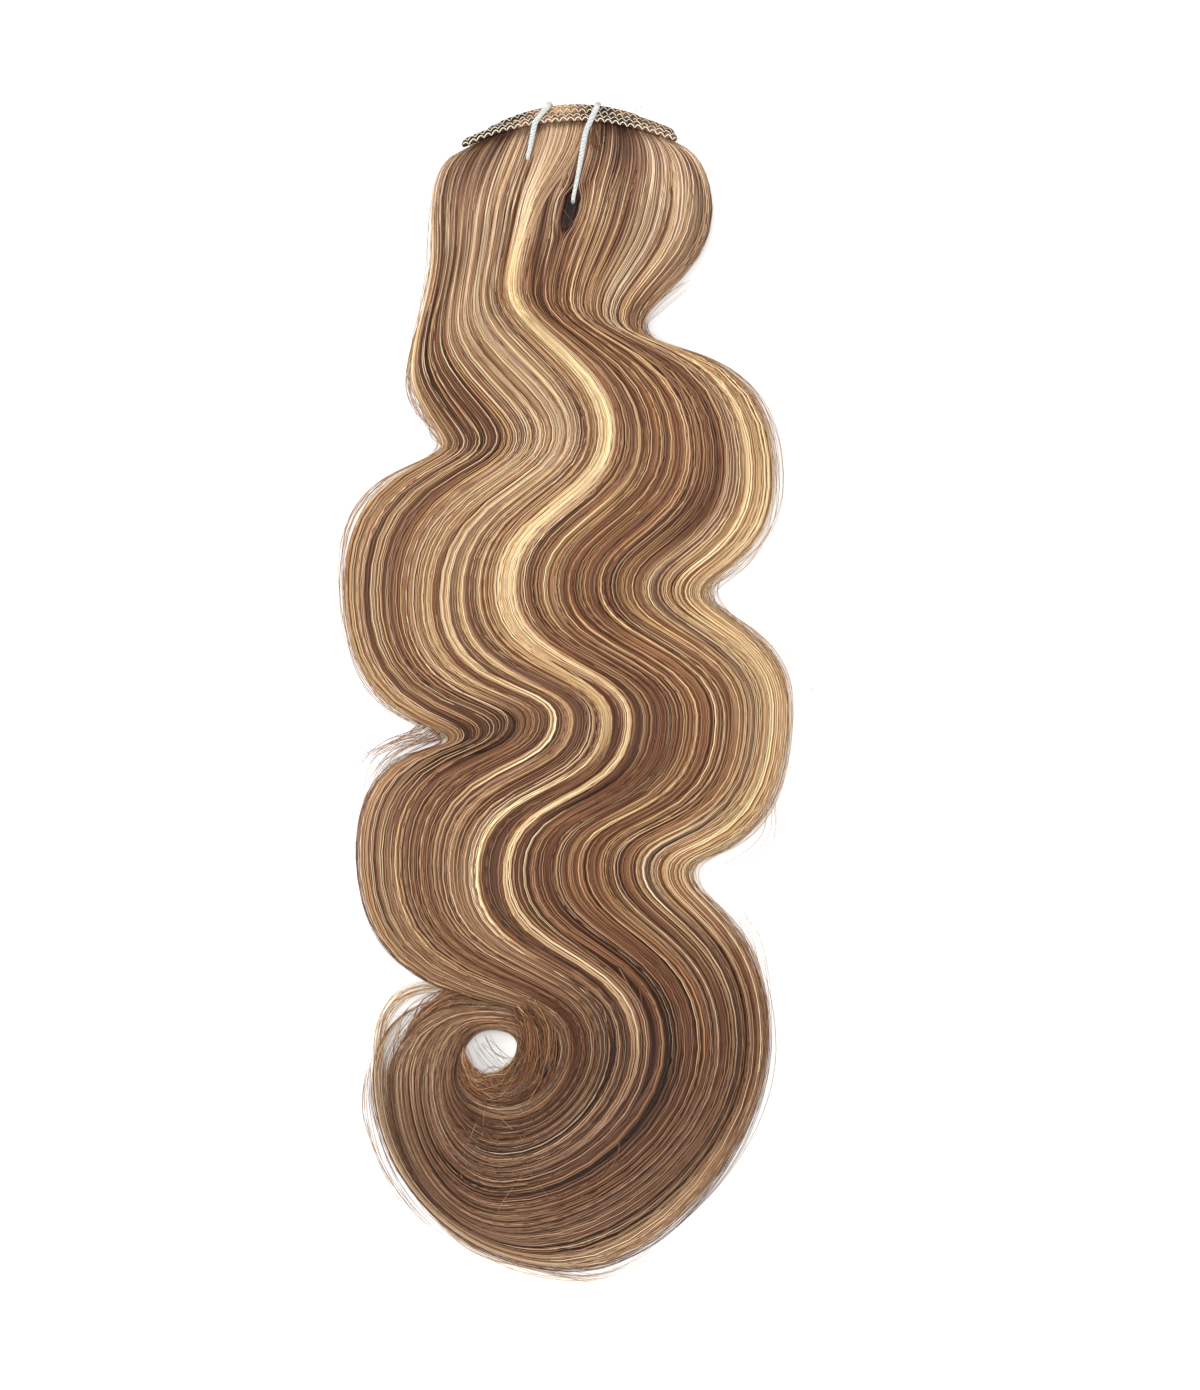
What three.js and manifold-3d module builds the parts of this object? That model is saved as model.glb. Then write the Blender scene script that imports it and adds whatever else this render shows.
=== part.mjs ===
// Clip-in hair extension: four wefts of waved hair in one pile, tied together and laid flat.
// Millimetres, +Z up. The bands are at +Y, the curl is at -Y, and the pile rests on z = 0.
import * as THREE from 'three';
import { mergeVertices } from 'three/addons/utils/BufferGeometryUtils.js';
import Module from 'manifold-3d';

const wasm = await Module();
wasm.setup();

// ---- sizes of the whole piece ----
const WIDTH = 158;             // across the widest bulges of the waves
const LENGTH = 419;            // from the ties' top to the bottom of the curl
const GAP = 0.35;              // clear space between any two pieces

// ---- bands, clips and ties ----
const BAND_THICK = 1.8;
const BAND_TALL = 3.4;
const CLIP_THICK = 1.0;
const CLIP_WIDTH = 20;
const CLIP_HEIGHT = 10;
const TIE_THICK = 0.6;
const TIE_WIDTH = 2.1;
const FIRST_CLIP_Z = TIE_THICK + GAP;              // the lowest clips ride just over the ties
const BAND_PITCH = CLIP_THICK + BAND_THICK + 2 * GAP;
const FIRST_BAND_Z = FIRST_CLIP_Z + CLIP_THICK + GAP;

// ---- hair pile ----
const CURTAIN = 4.7;           // height of one curtain of hair where it is fullest, with its gap
const SLACK = 0.3;             // extra gap between curtains, since their flat faces cut the corners
const EDGE_DROP = 0.3;         // how much lower the pile is at its sides, as a share of its height
const LOCK_DEPTH = 0.5;        // depth of the furrows in the top curtain, as a share of its thickness
const SIDE_BEVEL = 0.28;       // how much of a curtain's thickness its side edges lose

// Five guide hairs run the length of the pile. A guide's place is its share of the way across.
const GUIDES = { left: 0, lock: 0.22, streak: 0.45, fold: 0.72, right: 1 };

// One row where the waves turn. [x, y] of each guide: x as a share of WIDTH from the middle, y as a
// share of LENGTH from the top. turn: heading of the hair in degrees, 0 down the picture and
// -90 to the left. full: how far the bend is carried before and after the row, at the left and right side.
const WAVES = [
  { row: 'root', left: [-0.236, 0.034], lock: [-0.140, 0.020], streak: [-0.058, 0.015],
    fold: [0.104, 0.013], right: [0.252, 0.029], turn: [-68, -34, -12, 2, 68], full: [1.2, 1.2, 1.2, 1.2] },
  { row: 'shoulder', left: [-0.304, 0.125], lock: [-0.211, 0.110], streak: [-0.113, 0.095],
    fold: [0.072, 0.087], right: [0.327, 0.090], turn: [0, -4, -9, -13, 0], full: [1, 1.1, 1, 1.4] },
  { row: 'first left', left: [-0.350, 0.229], lock: [-0.236, 0.184], streak: [-0.142, 0.160],
    fold: [0.010, 0.170], right: [0.172, 0.191], turn: [0, 0, 0, 0, 0], full: [1, 1.15, 0.7, 0.45] },
  { row: 'first right', left: [-0.277, 0.292], lock: [-0.067, 0.285], streak: [0.063, 0.282],
    fold: [0.272, 0.298], right: [0.468, 0.323], turn: [0, 0, 0, 0, 0], full: [0.4, 0.4, 2.2, 1.9] },
  { row: 'second left', left: [-0.500, 0.413], lock: [-0.325, 0.426], streak: [-0.172, 0.416],
    fold: [0.074, 0.414], right: [0.312, 0.420], turn: [0, 0, 0, 0, 0], full: [2.1, 2.3, 0.55, 0.5] },
  { row: 'second right', left: [-0.266, 0.545], lock: [-0.083, 0.529], streak: [0.092, 0.529],
    fold: [0.336, 0.527], right: [0.500, 0.518], turn: [0, 0, 0, 0, 0], full: [0.35, 0.3, 1.6, 2.5] },
  { row: 'third left', left: [-0.470, 0.643], lock: [-0.343, 0.651], streak: [-0.186, 0.660],
    fold: [0.076, 0.655], right: [0.275, 0.660], turn: [0, 0, 0, 0, 0], full: [2.3, 2, 0.5, 0.5] },
  { row: 'third right', left: [-0.022, 0.809], lock: [0.031, 0.809], streak: [0.122, 0.808],
    fold: [0.322, 0.808], right: [0.450, 0.805], turn: [0, 0, 0, 0, 0], full: [0.75, 1, 2, 1.05] },
  { row: 'curl bottom', left: [-0.151, 0.856], lock: [-0.138, 0.875], streak: [-0.147, 0.907],
    fold: [-0.124, 0.960], right: [0.013, 0.999], turn: [-90, -90, -90, -90, -88],
    full: [1.17, 1.17, 0.9, 1.05] },
  { row: 'curl left', left: [-0.243, 0.830], lock: [-0.261, 0.835], streak: [-0.293, 0.838],
    fold: [-0.375, 0.837], right: [-0.438, 0.833], turn: [-180, -180, -180, -180, -180],
    full: [1.17, 1.17, 1.3, 1.1] },
  { row: 'curl top', left: [-0.170, 0.795], lock: [-0.179, 0.790], streak: [-0.206, 0.785],
    fold: [-0.247, 0.778], right: [-0.297, 0.771], turn: [-270, -270, -270, -266, -264],
    full: [1.17, 1.17, 1, 1.1] },
  { row: 'curl right', left: [-0.113, 0.809], lock: [-0.097, 0.809], streak: [-0.077, 0.809],
    fold: [-0.053, 0.810], right: [-0.036, 0.811], turn: [-360, -360, -360, -360, -360],
    full: [1.17, 1.17, 1, 1.17] },
  { row: 'tip', left: [-0.208, 0.833], lock: [-0.206, 0.838], streak: [-0.204, 0.843],
    fold: [-0.202, 0.847], right: [-0.199, 0.851], turn: [-465, -465, -465, -465, -465],
    full: [1.17, 1.17, 1.17, 1.17] },
];

// Height of the pile along its length. at: wave row, with parts of a row between rows.
// over: how far the lowest curtain is lifted, in heights of a tie with its gap,
// grip: 1 where the curtains are as thin as the bands and leave room for clips, 0 where they are free,
// swell: height of one curtain as a share of CURTAIN, round: how far the pile is domed.
const PILE = [
  { at: 0.00, over: 1, grip: 1, swell: 0.75, round: 0 },
  { at: 0.42, over: 1, grip: 1, swell: 0.75, round: 0 },
  { at: 0.75, over: 1.25, grip: 0.1, swell: 0.91, round: 0.6 },
  { at: 1.15, over: 1.25, grip: 0, swell: 0.98, round: 1 },
  { at: 2.00, over: 0, grip: 0, swell: 1, round: 1 },
  { at: 4.00, over: 0, grip: 0, swell: 0.87, round: 1 },
  { at: 7.00, over: 0, grip: 0, swell: 0.81, round: 1 },
  { at: 9.00, over: 0, grip: 0, swell: 0.70, round: 1 },
  { at: 12.00, over: 0, grip: 0, swell: 0.45, round: 1 },
];

// The four wefts from the floor up. band: left end, middle and right end of the band's centre line
// as shares; tall: height of the band as a share of BAND_TALL; from, to: share of the pile's width
// that its hair covers; steps: sections across, or 0 where it has the locks below;
// clips: places of its two clips along the band.
const WEFTS = [
  { name: 'back', band: [[-0.222, 0.034], [0.008, 0.006], [0.234, 0.032]], tall: 1.24,
    from: 0.012, to: 0.985, steps: 7, clips: [0.15, 0.83] },
  { name: 'third', band: [[-0.183, 0.024], [0.020, 0.007], [0.248, 0.026]], tall: 1.06,
    from: 0, to: 1, steps: 7, clips: [0.2, 0.8] },
  { name: 'second', band: [[-0.160, 0.021], [0.002, 0.005], [0.170, 0.015]], tall: 1,
    from: 0.006, to: 0.992, steps: 7, clips: [0.23, 0.77] },
  { name: 'front', band: [[-0.238, 0.036], [0.006, 0.013], [0.252, 0.031]], tall: 0.88,
    from: 0.018, to: 0.98, steps: 0, clips: [0.2, 0.8] },
];

// Rounded locks across the top curtain. to: share of the way across where the lock ends in a furrow,
// deep: depth of that furrow as a share of LOCK_DEPTH, starts: wave row where it opens,
// sways: how far the furrow wanders to each side.
const LOCKS = [
  { to: 0.15, deep: 0.75, starts: 0.6, sways: 0.012 },
  { to: 0.32, deep: 0.9, starts: 1.2, sways: 0.018 },
  { to: 0.48, deep: 0.6, starts: 0.3, sways: 0.015 },
  { to: 0.62, deep: 1, starts: 0.5, sways: 0.022 },
  { to: 0.80, deep: 0.85, starts: 1.6, sways: 0.018 },
  { to: 1, deep: 0, starts: 0, sways: 0 },
];

// Ties. over: share of WIDTH where the strap crosses the bands; bend, dive: [x, y] shares where it
// bends and goes into the hair; row: wave row of the dive; parting: its length as a share of LENGTH.
const TIES = [
  { name: 'left_tie', over: -0.038, bend: [-0.071, 0.017], dive: [-0.088, 0.050],
    row: 0.5, parting: 0.012 },
  { name: 'right_tie', over: 0.072, bend: [0.044, 0.025], dive: [0.015, 0.087],
    row: 1, parting: 0.031 },
];

const ROWS_BETWEEN = [6, 3, 6, 6, 5, 6, 7, 7, 5, 4, 4, 3];     // sections from each wave row to the next
const ROOT_SHARES = [0, 0.20, 0.365, 0.70, 1];                 // where the guides leave the band

const lerp = (a, b, t) => a + (b - a) * t;
const place = (x, y) => [x * WIDTH, (0.5 - y) * LENGTH];
const guideNames = Object.keys(GUIDES);
const guideAt = Object.values(GUIDES);

// Smooth curve through one value per guide, read at share u across the pile.
function across(values, u) {
  let k = 0;
  while (k < guideAt.length - 2 && u > guideAt[k + 1]) k += 1;
  const slope = (i) => (values[i + 1] - values[i]) / (guideAt[i + 1] - guideAt[i]);
  const bend = (i) => {
    if (i === 0) return slope(0);
    if (i === values.length - 1) return slope(i - 1);
    const before = guideAt[i] - guideAt[i - 1];
    const after = guideAt[i + 1] - guideAt[i];
    return (slope(i) * before + slope(i - 1) * after) / (before + after);
  };
  const step = guideAt[k + 1] - guideAt[k];
  const t = (u - guideAt[k]) / step;
  return hermite(values[k], bend(k) * step, values[k + 1], bend(k + 1) * step, t);
}

function hermite(a, leaveA, b, enterB, t) {
  const s = t * t;
  const c = s * t;
  return (2 * c - 3 * s + 1) * a + (c - 2 * s + t) * leaveA + (3 * s - 2 * c) * b + (c - s) * enterB;
}

// Value between the first and last entry of a list of equally many guides, without overshoot.
function between(values, u) {
  let k = 0;
  while (k < guideAt.length - 2 && u > guideAt[k + 1]) k += 1;
  return lerp(values[k], values[k + 1], (u - guideAt[k]) / (guideAt[k + 1] - guideAt[k]));
}

// Point on a band's centre line at a share from its left to its right end.
function onBand(weft, share) {
  const [a, m, b] = weft.band.map(([x, y]) => place(x, y));
  const x = lerp(a[0], b[0], share);
  const rise = (p, q) => (q[1] - p[1]) / (q[0] - p[0]);
  const curve = (rise(m, b) - rise(a, m)) / (b[0] - a[0]);
  return [x, a[1] + rise(a, m) * (x - a[0]) + curve * (x - a[0]) * (x - m[0])];
}

// Position of a hair at share u across and wave row at down, in the plan of one weft.
function hair(weft, u, at) {
  const row = Math.min(Math.floor(at), WAVES.length - 2);
  const ends = [WAVES[row], WAVES[row + 1]].map((wave, side) => {
    const spot = guideNames.map((name) => place(...wave[name]));
    let [x, y] = [0, 1].map((axis) => across(spot.map((p) => p[axis]), u));
    if (row + side === 0) {
      [x, y] = onBand(weft, between(ROOT_SHARES, u));
      y -= (weft.tall * BAND_TALL) / 2 + GAP + SLACK;
    }
    const turn = THREE.MathUtils.degToRad(between(wave.turn, u));
    const full = side === 0 ? lerp(wave.full[1], wave.full[3], u) : lerp(wave.full[0], wave.full[2], u);
    return { x, y, dx: Math.sin(turn) * full, dy: -Math.cos(turn) * full };
  });
  const [a, b] = ends;
  const chord = Math.hypot(b.x - a.x, b.y - a.y);
  return ['x', 'y'].map((axis) =>
    hermite(a[axis], a['d' + axis] * chord, b[axis], b['d' + axis] * chord, at - row));
}

// Underside, height of one curtain with its gap, free room and doming of the pile at one wave row.
function pileAt(at) {
  let k = 0;
  while (k < PILE.length - 2 && at > PILE[k + 1].at) k += 1;
  const t = (at - PILE[k].at) / (PILE[k + 1].at - PILE[k].at);
  const [over, grip, swell, round] = ['over', 'grip', 'swell', 'round'].map((column) =>
    lerp(PILE[k][column], PILE[k + 1][column], t));
  return {
    lift: over * FIRST_CLIP_Z + grip * (CLIP_THICK + GAP),
    layer: lerp(swell * CURTAIN, BAND_PITCH, grip),
    room: GAP + SLACK + grip * (CLIP_THICK + GAP),
    round,
  };
}

// Height of the surface under curtain number k at share u across.
function level(k, u, at) {
  const pile = pileAt(at);
  return pile.lift + k * pile.layer * (1 - pile.round * EDGE_DROP * (2 * u - 1) ** 2);
}

// Sections across the top curtain at one wave row: each lock's crown and the furrow after it.
function lockSections(at) {
  const round = pileAt(at).round;
  const sections = [{ share: 0, cut: SIDE_BEVEL }];
  let start = 0;
  LOCKS.forEach(({ to, deep, starts, sways }, i) => {
    const end = to + sways * round * Math.sin(1.7 * at + 2.1 * i);
    const opened = THREE.MathUtils.smoothstep(at, starts, starts + 1);
    sections.push({ share: lerp(start, end, 0.5), cut: 0.06 * round * Math.cos(2 * at + i) ** 2 });
    const isLast = i === LOCKS.length - 1;
    sections.push({ share: end, cut: isLast ? SIDE_BEVEL : LOCK_DEPTH * deep * opened * round });
    start = end;
  });
  return sections;
}

// Sections across a curtain that only shows at its edges: evenly spaced, with lower sides.
function plainSections(steps) {
  return Array.from({ length: steps + 1 }, (_, column) =>
    ({ share: column / steps, cut: column % steps === 0 ? SIDE_BEVEL : 0 }));
}

// Closed body from a grid of top points and a grid of bottom points with the same rows and columns.
function closedSheet(top, bottom) {
  const rows = top.length;
  const cols = top[0].length;
  const points = [...top.flat(), ...bottom.flat()];
  const up = (r, c) => r * cols + c;
  const down = (r, c) => rows * cols + r * cols + c;
  const faces = [];
  const quad = (a, b, c, d) => faces.push(a, b, c, a, c, d);
  for (let r = 0; r < rows - 1; r += 1) {
    for (let c = 0; c < cols - 1; c += 1) {
      quad(up(r, c), up(r + 1, c), up(r + 1, c + 1), up(r, c + 1));
      quad(down(r, c), down(r, c + 1), down(r + 1, c + 1), down(r + 1, c));
    }
    quad(up(r, 0), down(r, 0), down(r + 1, 0), up(r + 1, 0));
    quad(up(r + 1, cols - 1), down(r + 1, cols - 1), down(r, cols - 1), up(r, cols - 1));
  }
  for (let c = 0; c < cols - 1; c += 1) {
    quad(up(0, c), up(0, c + 1), down(0, c + 1), down(0, c));
    quad(up(rows - 1, c + 1), up(rows - 1, c), down(rows - 1, c), down(rows - 1, c + 1));
  }
  const body = new THREE.BufferGeometry();
  body.setAttribute('position', new THREE.Float32BufferAttribute(points.flat(), 3));
  body.setIndex(faces);
  return body;
}

function toSolid(geometry) {
  const bare = new THREE.BufferGeometry();
  bare.setAttribute('position', geometry.getAttribute('position').clone());
  if (geometry.index) bare.setIndex(geometry.index.clone());
  const merged = mergeVertices(bare, 1e-4);
  return new wasm.Manifold(new wasm.Mesh({
    numProp: 3,
    vertProperties: new Float32Array(merged.getAttribute('position').array),
    triVerts: new Uint32Array(merged.index.array),
  }));
}

function fromSolid(solid) {
  const mesh = solid.getMesh();
  const body = new THREE.BufferGeometry();
  body.setAttribute('position', new THREE.BufferAttribute(new Float32Array(mesh.vertProperties), 3));
  body.setIndex(new THREE.BufferAttribute(new Uint32Array(mesh.triVerts), 1));
  return body;
}

// Lens-shaped post through the whole pile, which opens a parting for a tie.
function partingTool(tie) {
  const [x, y] = place(...tie.dive);
  const long = (tie.parting * LENGTH) / 2;
  const wide = TIE_WIDTH / 2 + 2 * GAP;
  const tall = FIRST_BAND_Z + WEFTS.length * Math.max(CURTAIN, BAND_PITCH);
  const lens = new THREE.Shape();
  lens.moveTo(0, long);
  lens.lineTo(-wide, long * 0.3);
  lens.lineTo(-wide, -long * 0.3);
  lens.lineTo(0, -long);
  lens.lineTo(wide, -long * 0.3);
  lens.lineTo(wide, long * 0.3);
  lens.closePath();
  const post = new THREE.ExtrudeGeometry(lens, { depth: 3 * tall, bevelEnabled: false });
  post.rotateZ(leanOf(tie));
  post.translate(x, y, -tall);
  return toSolid(post);
}

// Angle in plan between a tie and the length of the piece.
function leanOf(tie) {
  const [bx, by] = place(...tie.bend);
  const [dx, dy] = place(...tie.dive);
  return Math.atan2(dy - by, dx - bx) + Math.PI / 2;
}

function makeHair(weft, layer) {
  const stops = [0];
  ROWS_BETWEEN.forEach((count, row) => {
    for (let i = 1; i <= count; i += 1) stops.push(row + i / count);
  });
  const top = [];
  const bottom = [];
  stops.forEach((at) => {
    const { room, lift } = pileAt(at);
    const upper = [];
    const lower = [];
    const sections = weft.steps > 0 ? plainSections(weft.steps) : lockSections(at);
    sections.forEach(({ share, cut }) => {
      const u = lerp(weft.from, weft.to, share);
      const [x, y] = hair(weft, u, at);
      const low = level(layer, u, at);
      const thick = level(layer + 1, u, at) - room - low;
      const raised = share % 1 === 0 && (layer > 0 || lift > 0);
      upper.push([x, y, low + thick * (1 - cut)]);
      lower.push([x, y, low + (raised ? 0.4 * SIDE_BEVEL * thick : 0)]);
    });
    top.push(upper);
    bottom.push(lower);
  });
  let solid = toSolid(closedSheet(top, bottom));
  TIES.forEach((tie) => { solid = solid.subtract(partingTool(tie)); });
  return fromSolid(solid);
}

function makeBand(weft, layer) {
  const sections = 12;
  const bottomZ = FIRST_BAND_Z + layer * BAND_PITCH;
  const top = [];
  const bottom = [];
  for (let i = 0; i <= sections; i += 1) {
    const share = i / sections;
    const [x, y] = onBand(weft, share);
    const rounded = Math.min(1, Math.sqrt(Math.sin(Math.PI * Math.min(share, 1 - share) * 5 + 0.45)));
    const half = ((weft.tall * BAND_TALL) / 2) * (share > 0.08 && share < 0.92 ? 1 : rounded);
    top.push([[x, y - half, bottomZ + BAND_THICK], [x, y + half, bottomZ + BAND_THICK]]);
    bottom.push([[x, y - half, bottomZ], [x, y + half, bottomZ]]);
  }
  return fromSolid(toSolid(closedSheet(top, bottom)));
}

// Flat snap clip: rounded plate with a narrow curved slot, turned to follow the band above it.
function makeClip(weft, layer, share) {
  const half = CLIP_WIDTH / 2;
  const shoulder = 0.3 * CLIP_HEIGHT;
  const plate = new THREE.Shape();
  plate.moveTo(shoulder - half, 0);
  plate.lineTo(half - shoulder, 0);
  plate.quadraticCurveTo(half, 0, half, -shoulder);
  plate.quadraticCurveTo(half - 1, -CLIP_HEIGHT, 0, -CLIP_HEIGHT);
  plate.quadraticCurveTo(1 - half, -CLIP_HEIGHT, -half, -shoulder);
  plate.quadraticCurveTo(-half, 0, shoulder - half, 0);
  const slot = new THREE.Path();
  slot.moveTo(1.3 * shoulder - half, -shoulder);
  slot.quadraticCurveTo(0, -1.3 * CLIP_HEIGHT, half - 1.3 * shoulder, -shoulder);
  slot.quadraticCurveTo(0, -0.8 * CLIP_HEIGHT, 1.3 * shoulder - half, -shoulder);
  plate.holes.push(slot);
  const shape = { depth: CLIP_THICK, bevelEnabled: false, curveSegments: 4 };
  const clip = new THREE.ExtrudeGeometry(plate, shape);
  const [x, y] = onBand(weft, share);
  const [nextX, nextY] = onBand(weft, share + 0.05);
  clip.rotateZ(Math.atan2(nextY - y, nextX - x));
  clip.translate(x, y + (weft.tall * BAND_TALL) / 4, FIRST_CLIP_Z + layer * BAND_PITCH);
  return fromSolid(toSolid(clip));
}

// Closed flat strap: over the bands, along the top of the hair, down through the parting and back below.
function makeTie(tie) {
  const ox = tie.over * WIDTH;
  const [bx, by] = place(...tie.bend);
  const [dx, dy] = place(...tie.dive);
  const half = TIE_THICK / 2;
  const turn = 2 * TIE_THICK;
  const bandsTop = FIRST_BAND_Z + (WEFTS.length - 1) * BAND_PITCH + BAND_THICK + GAP + half;
  const hairTop = (at) => level(WEFTS.length, 0.5, at) - pileAt(at).room + SLACK + GAP + half;
  const bandEdge = (weft) =>
    Math.max(...[0.4, 0.5, 0.6].map((share) => onBand(weft, share)[1])) + (weft.tall * BAND_TALL) / 2;
  const behind = Math.max(...WEFTS.map(bandEdge)) + GAP + half;
  const alongHair = [0.25, 0.5, 0.75].map((t) => [lerp(bx, dx, t), lerp(by, dy, t),
    Math.max(bandsTop, hairTop(tie.row * t))]);
  const loop = [
    [ox, behind - turn, bandsTop], [bx, by, bandsTop], ...alongHair,
    [dx, dy + turn, hairTop(tie.row)], [dx, dy, hairTop(tie.row) - turn],
    [dx, dy, half + turn], [dx, dy + turn, half], [bx, by, half], [ox, behind - turn, half],
    [ox, behind, half + turn], [ox, behind, bandsTop - turn],
  ].map((p) => new THREE.Vector3(...p));
  const lean = leanOf(tie);
  const side = new THREE.Vector3(Math.cos(lean), Math.sin(lean), 0);
  const ring = loop.map((p, i) => {
    const before = loop[(i + loop.length - 1) % loop.length];
    const after = loop[(i + 1) % loop.length];
    const run = p.clone().sub(before).normalize().add(after.clone().sub(p).normalize()).normalize();
    const out = new THREE.Vector3().crossVectors(side, run).normalize();
    const corner = (s, o) =>
      p.clone().addScaledVector(side, (s * TIE_WIDTH) / 2).addScaledVector(out, (o * TIE_THICK) / 2);
    return [corner(-1, -1), corner(1, -1), corner(1, 1), corner(-1, 1)];
  });
  const points = ring.flat().flatMap((p) => p.toArray());
  const faces = [];
  for (let i = 0; i < ring.length; i += 1) {
    for (let c = 0; c < 4; c += 1) {
      const [a, b] = [i * 4 + c, i * 4 + ((c + 1) % 4)];
      const next = ((i + 1) % ring.length) * 4;
      const [d, e] = [next + c, next + ((c + 1) % 4)];
      faces.push(a, e, b, a, d, e);
    }
  }
  const body = new THREE.BufferGeometry();
  body.setAttribute('position', new THREE.Float32BufferAttribute(points, 3));
  body.setIndex(faces);
  return body;
}

const paint = (name, color, roughness, metalness) =>
  Object.assign(new THREE.MeshStandardMaterial({ color, roughness, metalness }), { name });

const object = new THREE.Group();
object.name = 'clip_in_hair_extension';

function addPiece(name, geometry, material) {
  geometry.computeVertexNormals();
  const mesh = new THREE.Mesh(geometry, material);
  mesh.name = name;
  object.add(mesh);
}

WEFTS.forEach((weft, layer) => {
  addPiece(`${weft.name}_weft_hair`, makeHair(weft, layer), paint('waved hair', '#a8907c', 0.5, 0));
  addPiece(`${weft.name}_weft_band`, makeBand(weft, layer), paint('stitched weft', '#b7a48c', 0.8, 0));
  ['left', 'right'].forEach((side, i) => addPiece(`${weft.name}_${side}_clip`,
    makeClip(weft, layer, weft.clips[i]), paint('painted steel', '#6b5341', 0.4, 0.6)));
});
TIES.forEach((tie) => addPiece(tie.name, makeTie(tie), paint('pale tie', '#d9dadb', 0.35, 0)));

// Put the middle of the whole piece over the origin.
const box = new THREE.Box3().setFromObject(object);
const middle = box.getCenter(new THREE.Vector3());
object.children.forEach((mesh) => mesh.geometry.translate(-middle.x, -middle.y, -box.min.z));

export default object;
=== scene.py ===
# %% [markdown]
# Clip-in hair extension
# The real object is a set of four wefts: bands that long hair is sewn into. They lie one on another, two
# pale ties hold them together, and the waved ends are swept round into one big curl on a white ground.
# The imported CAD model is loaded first, because every piece made here has to lie where its solid lies.

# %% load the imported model
import math
import bpy
import numpy as np
from mathutils import Matrix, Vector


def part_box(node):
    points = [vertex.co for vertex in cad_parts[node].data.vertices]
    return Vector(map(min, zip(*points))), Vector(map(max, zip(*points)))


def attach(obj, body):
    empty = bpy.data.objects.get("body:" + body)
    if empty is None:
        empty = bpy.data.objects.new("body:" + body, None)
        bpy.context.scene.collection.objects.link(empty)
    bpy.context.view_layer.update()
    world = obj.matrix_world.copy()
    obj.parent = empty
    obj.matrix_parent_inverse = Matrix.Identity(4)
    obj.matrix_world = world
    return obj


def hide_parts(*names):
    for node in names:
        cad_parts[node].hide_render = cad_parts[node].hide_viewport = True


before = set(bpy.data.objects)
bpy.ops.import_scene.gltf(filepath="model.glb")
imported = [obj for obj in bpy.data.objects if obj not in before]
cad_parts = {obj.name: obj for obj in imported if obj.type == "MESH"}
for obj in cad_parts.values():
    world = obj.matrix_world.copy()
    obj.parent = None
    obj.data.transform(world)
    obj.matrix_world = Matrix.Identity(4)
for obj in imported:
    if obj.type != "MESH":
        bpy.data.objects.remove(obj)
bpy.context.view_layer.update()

MM = 0.001

# %% [markdown]
# The camera
# The photograph looks straight down. A camera with no rotation does that in Blender. The lens is worked out
# from the height and from the 0.5 m of ground that the picture shows from top to bottom, and a long lens
# high up keeps the sides of the pile from showing.

# %% camera
CAMERA_HEIGHT = 1.5
GROUND_SHOWN = 0.5004    # m of ground from the picture's top to its bottom
HAIR_TOP = 0.008         # m, the height that this length is measured at
SENSOR = 36
bpy.ops.object.camera_add(location=(0.01206, -0.00364, CAMERA_HEIGHT), rotation=(0, 0, 0))
camera = bpy.context.object
camera.data.sensor_fit = "VERTICAL"
camera.data.sensor_height = SENSOR
camera.data.lens = SENSOR * (CAMERA_HEIGHT - HAIR_TOP) / GROUND_SHOWN
bpy.context.scene.camera = camera
print("lens in mm:", round(camera.data.lens, 1))

# %% [markdown]
# The run of the hair
# Every piece here follows the hair, so its run is written down once, with the same named rows as the CAD
# model. Five guide hairs cross thirteen rows where the waves turn. Between guides the rows are joined by a
# smooth curve, and along a guide each bend is a Hermite curve from one row's heading to the next.
# A hair could be simulated instead, but a curl that was combed into place by hand is easier to describe.

# %% sizes and rows of the waves
WIDTH, LENGTH, GAP = 158.0, 419.0, 0.35
BAND_THICK, BAND_TALL = 1.8, 3.4
CLIP_THICK, TIE_THICK, TIE_WIDTH = 1.0, 0.6, 2.1
FIRST_CLIP_Z = TIE_THICK + GAP
BAND_PITCH = CLIP_THICK + BAND_THICK + 2 * GAP
FIRST_BAND_Z = FIRST_CLIP_Z + CLIP_THICK + GAP
CURTAIN, SLACK, EDGE_DROP, LOCK_DEPTH = 4.7, 0.3, 0.3, 0.5

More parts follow.
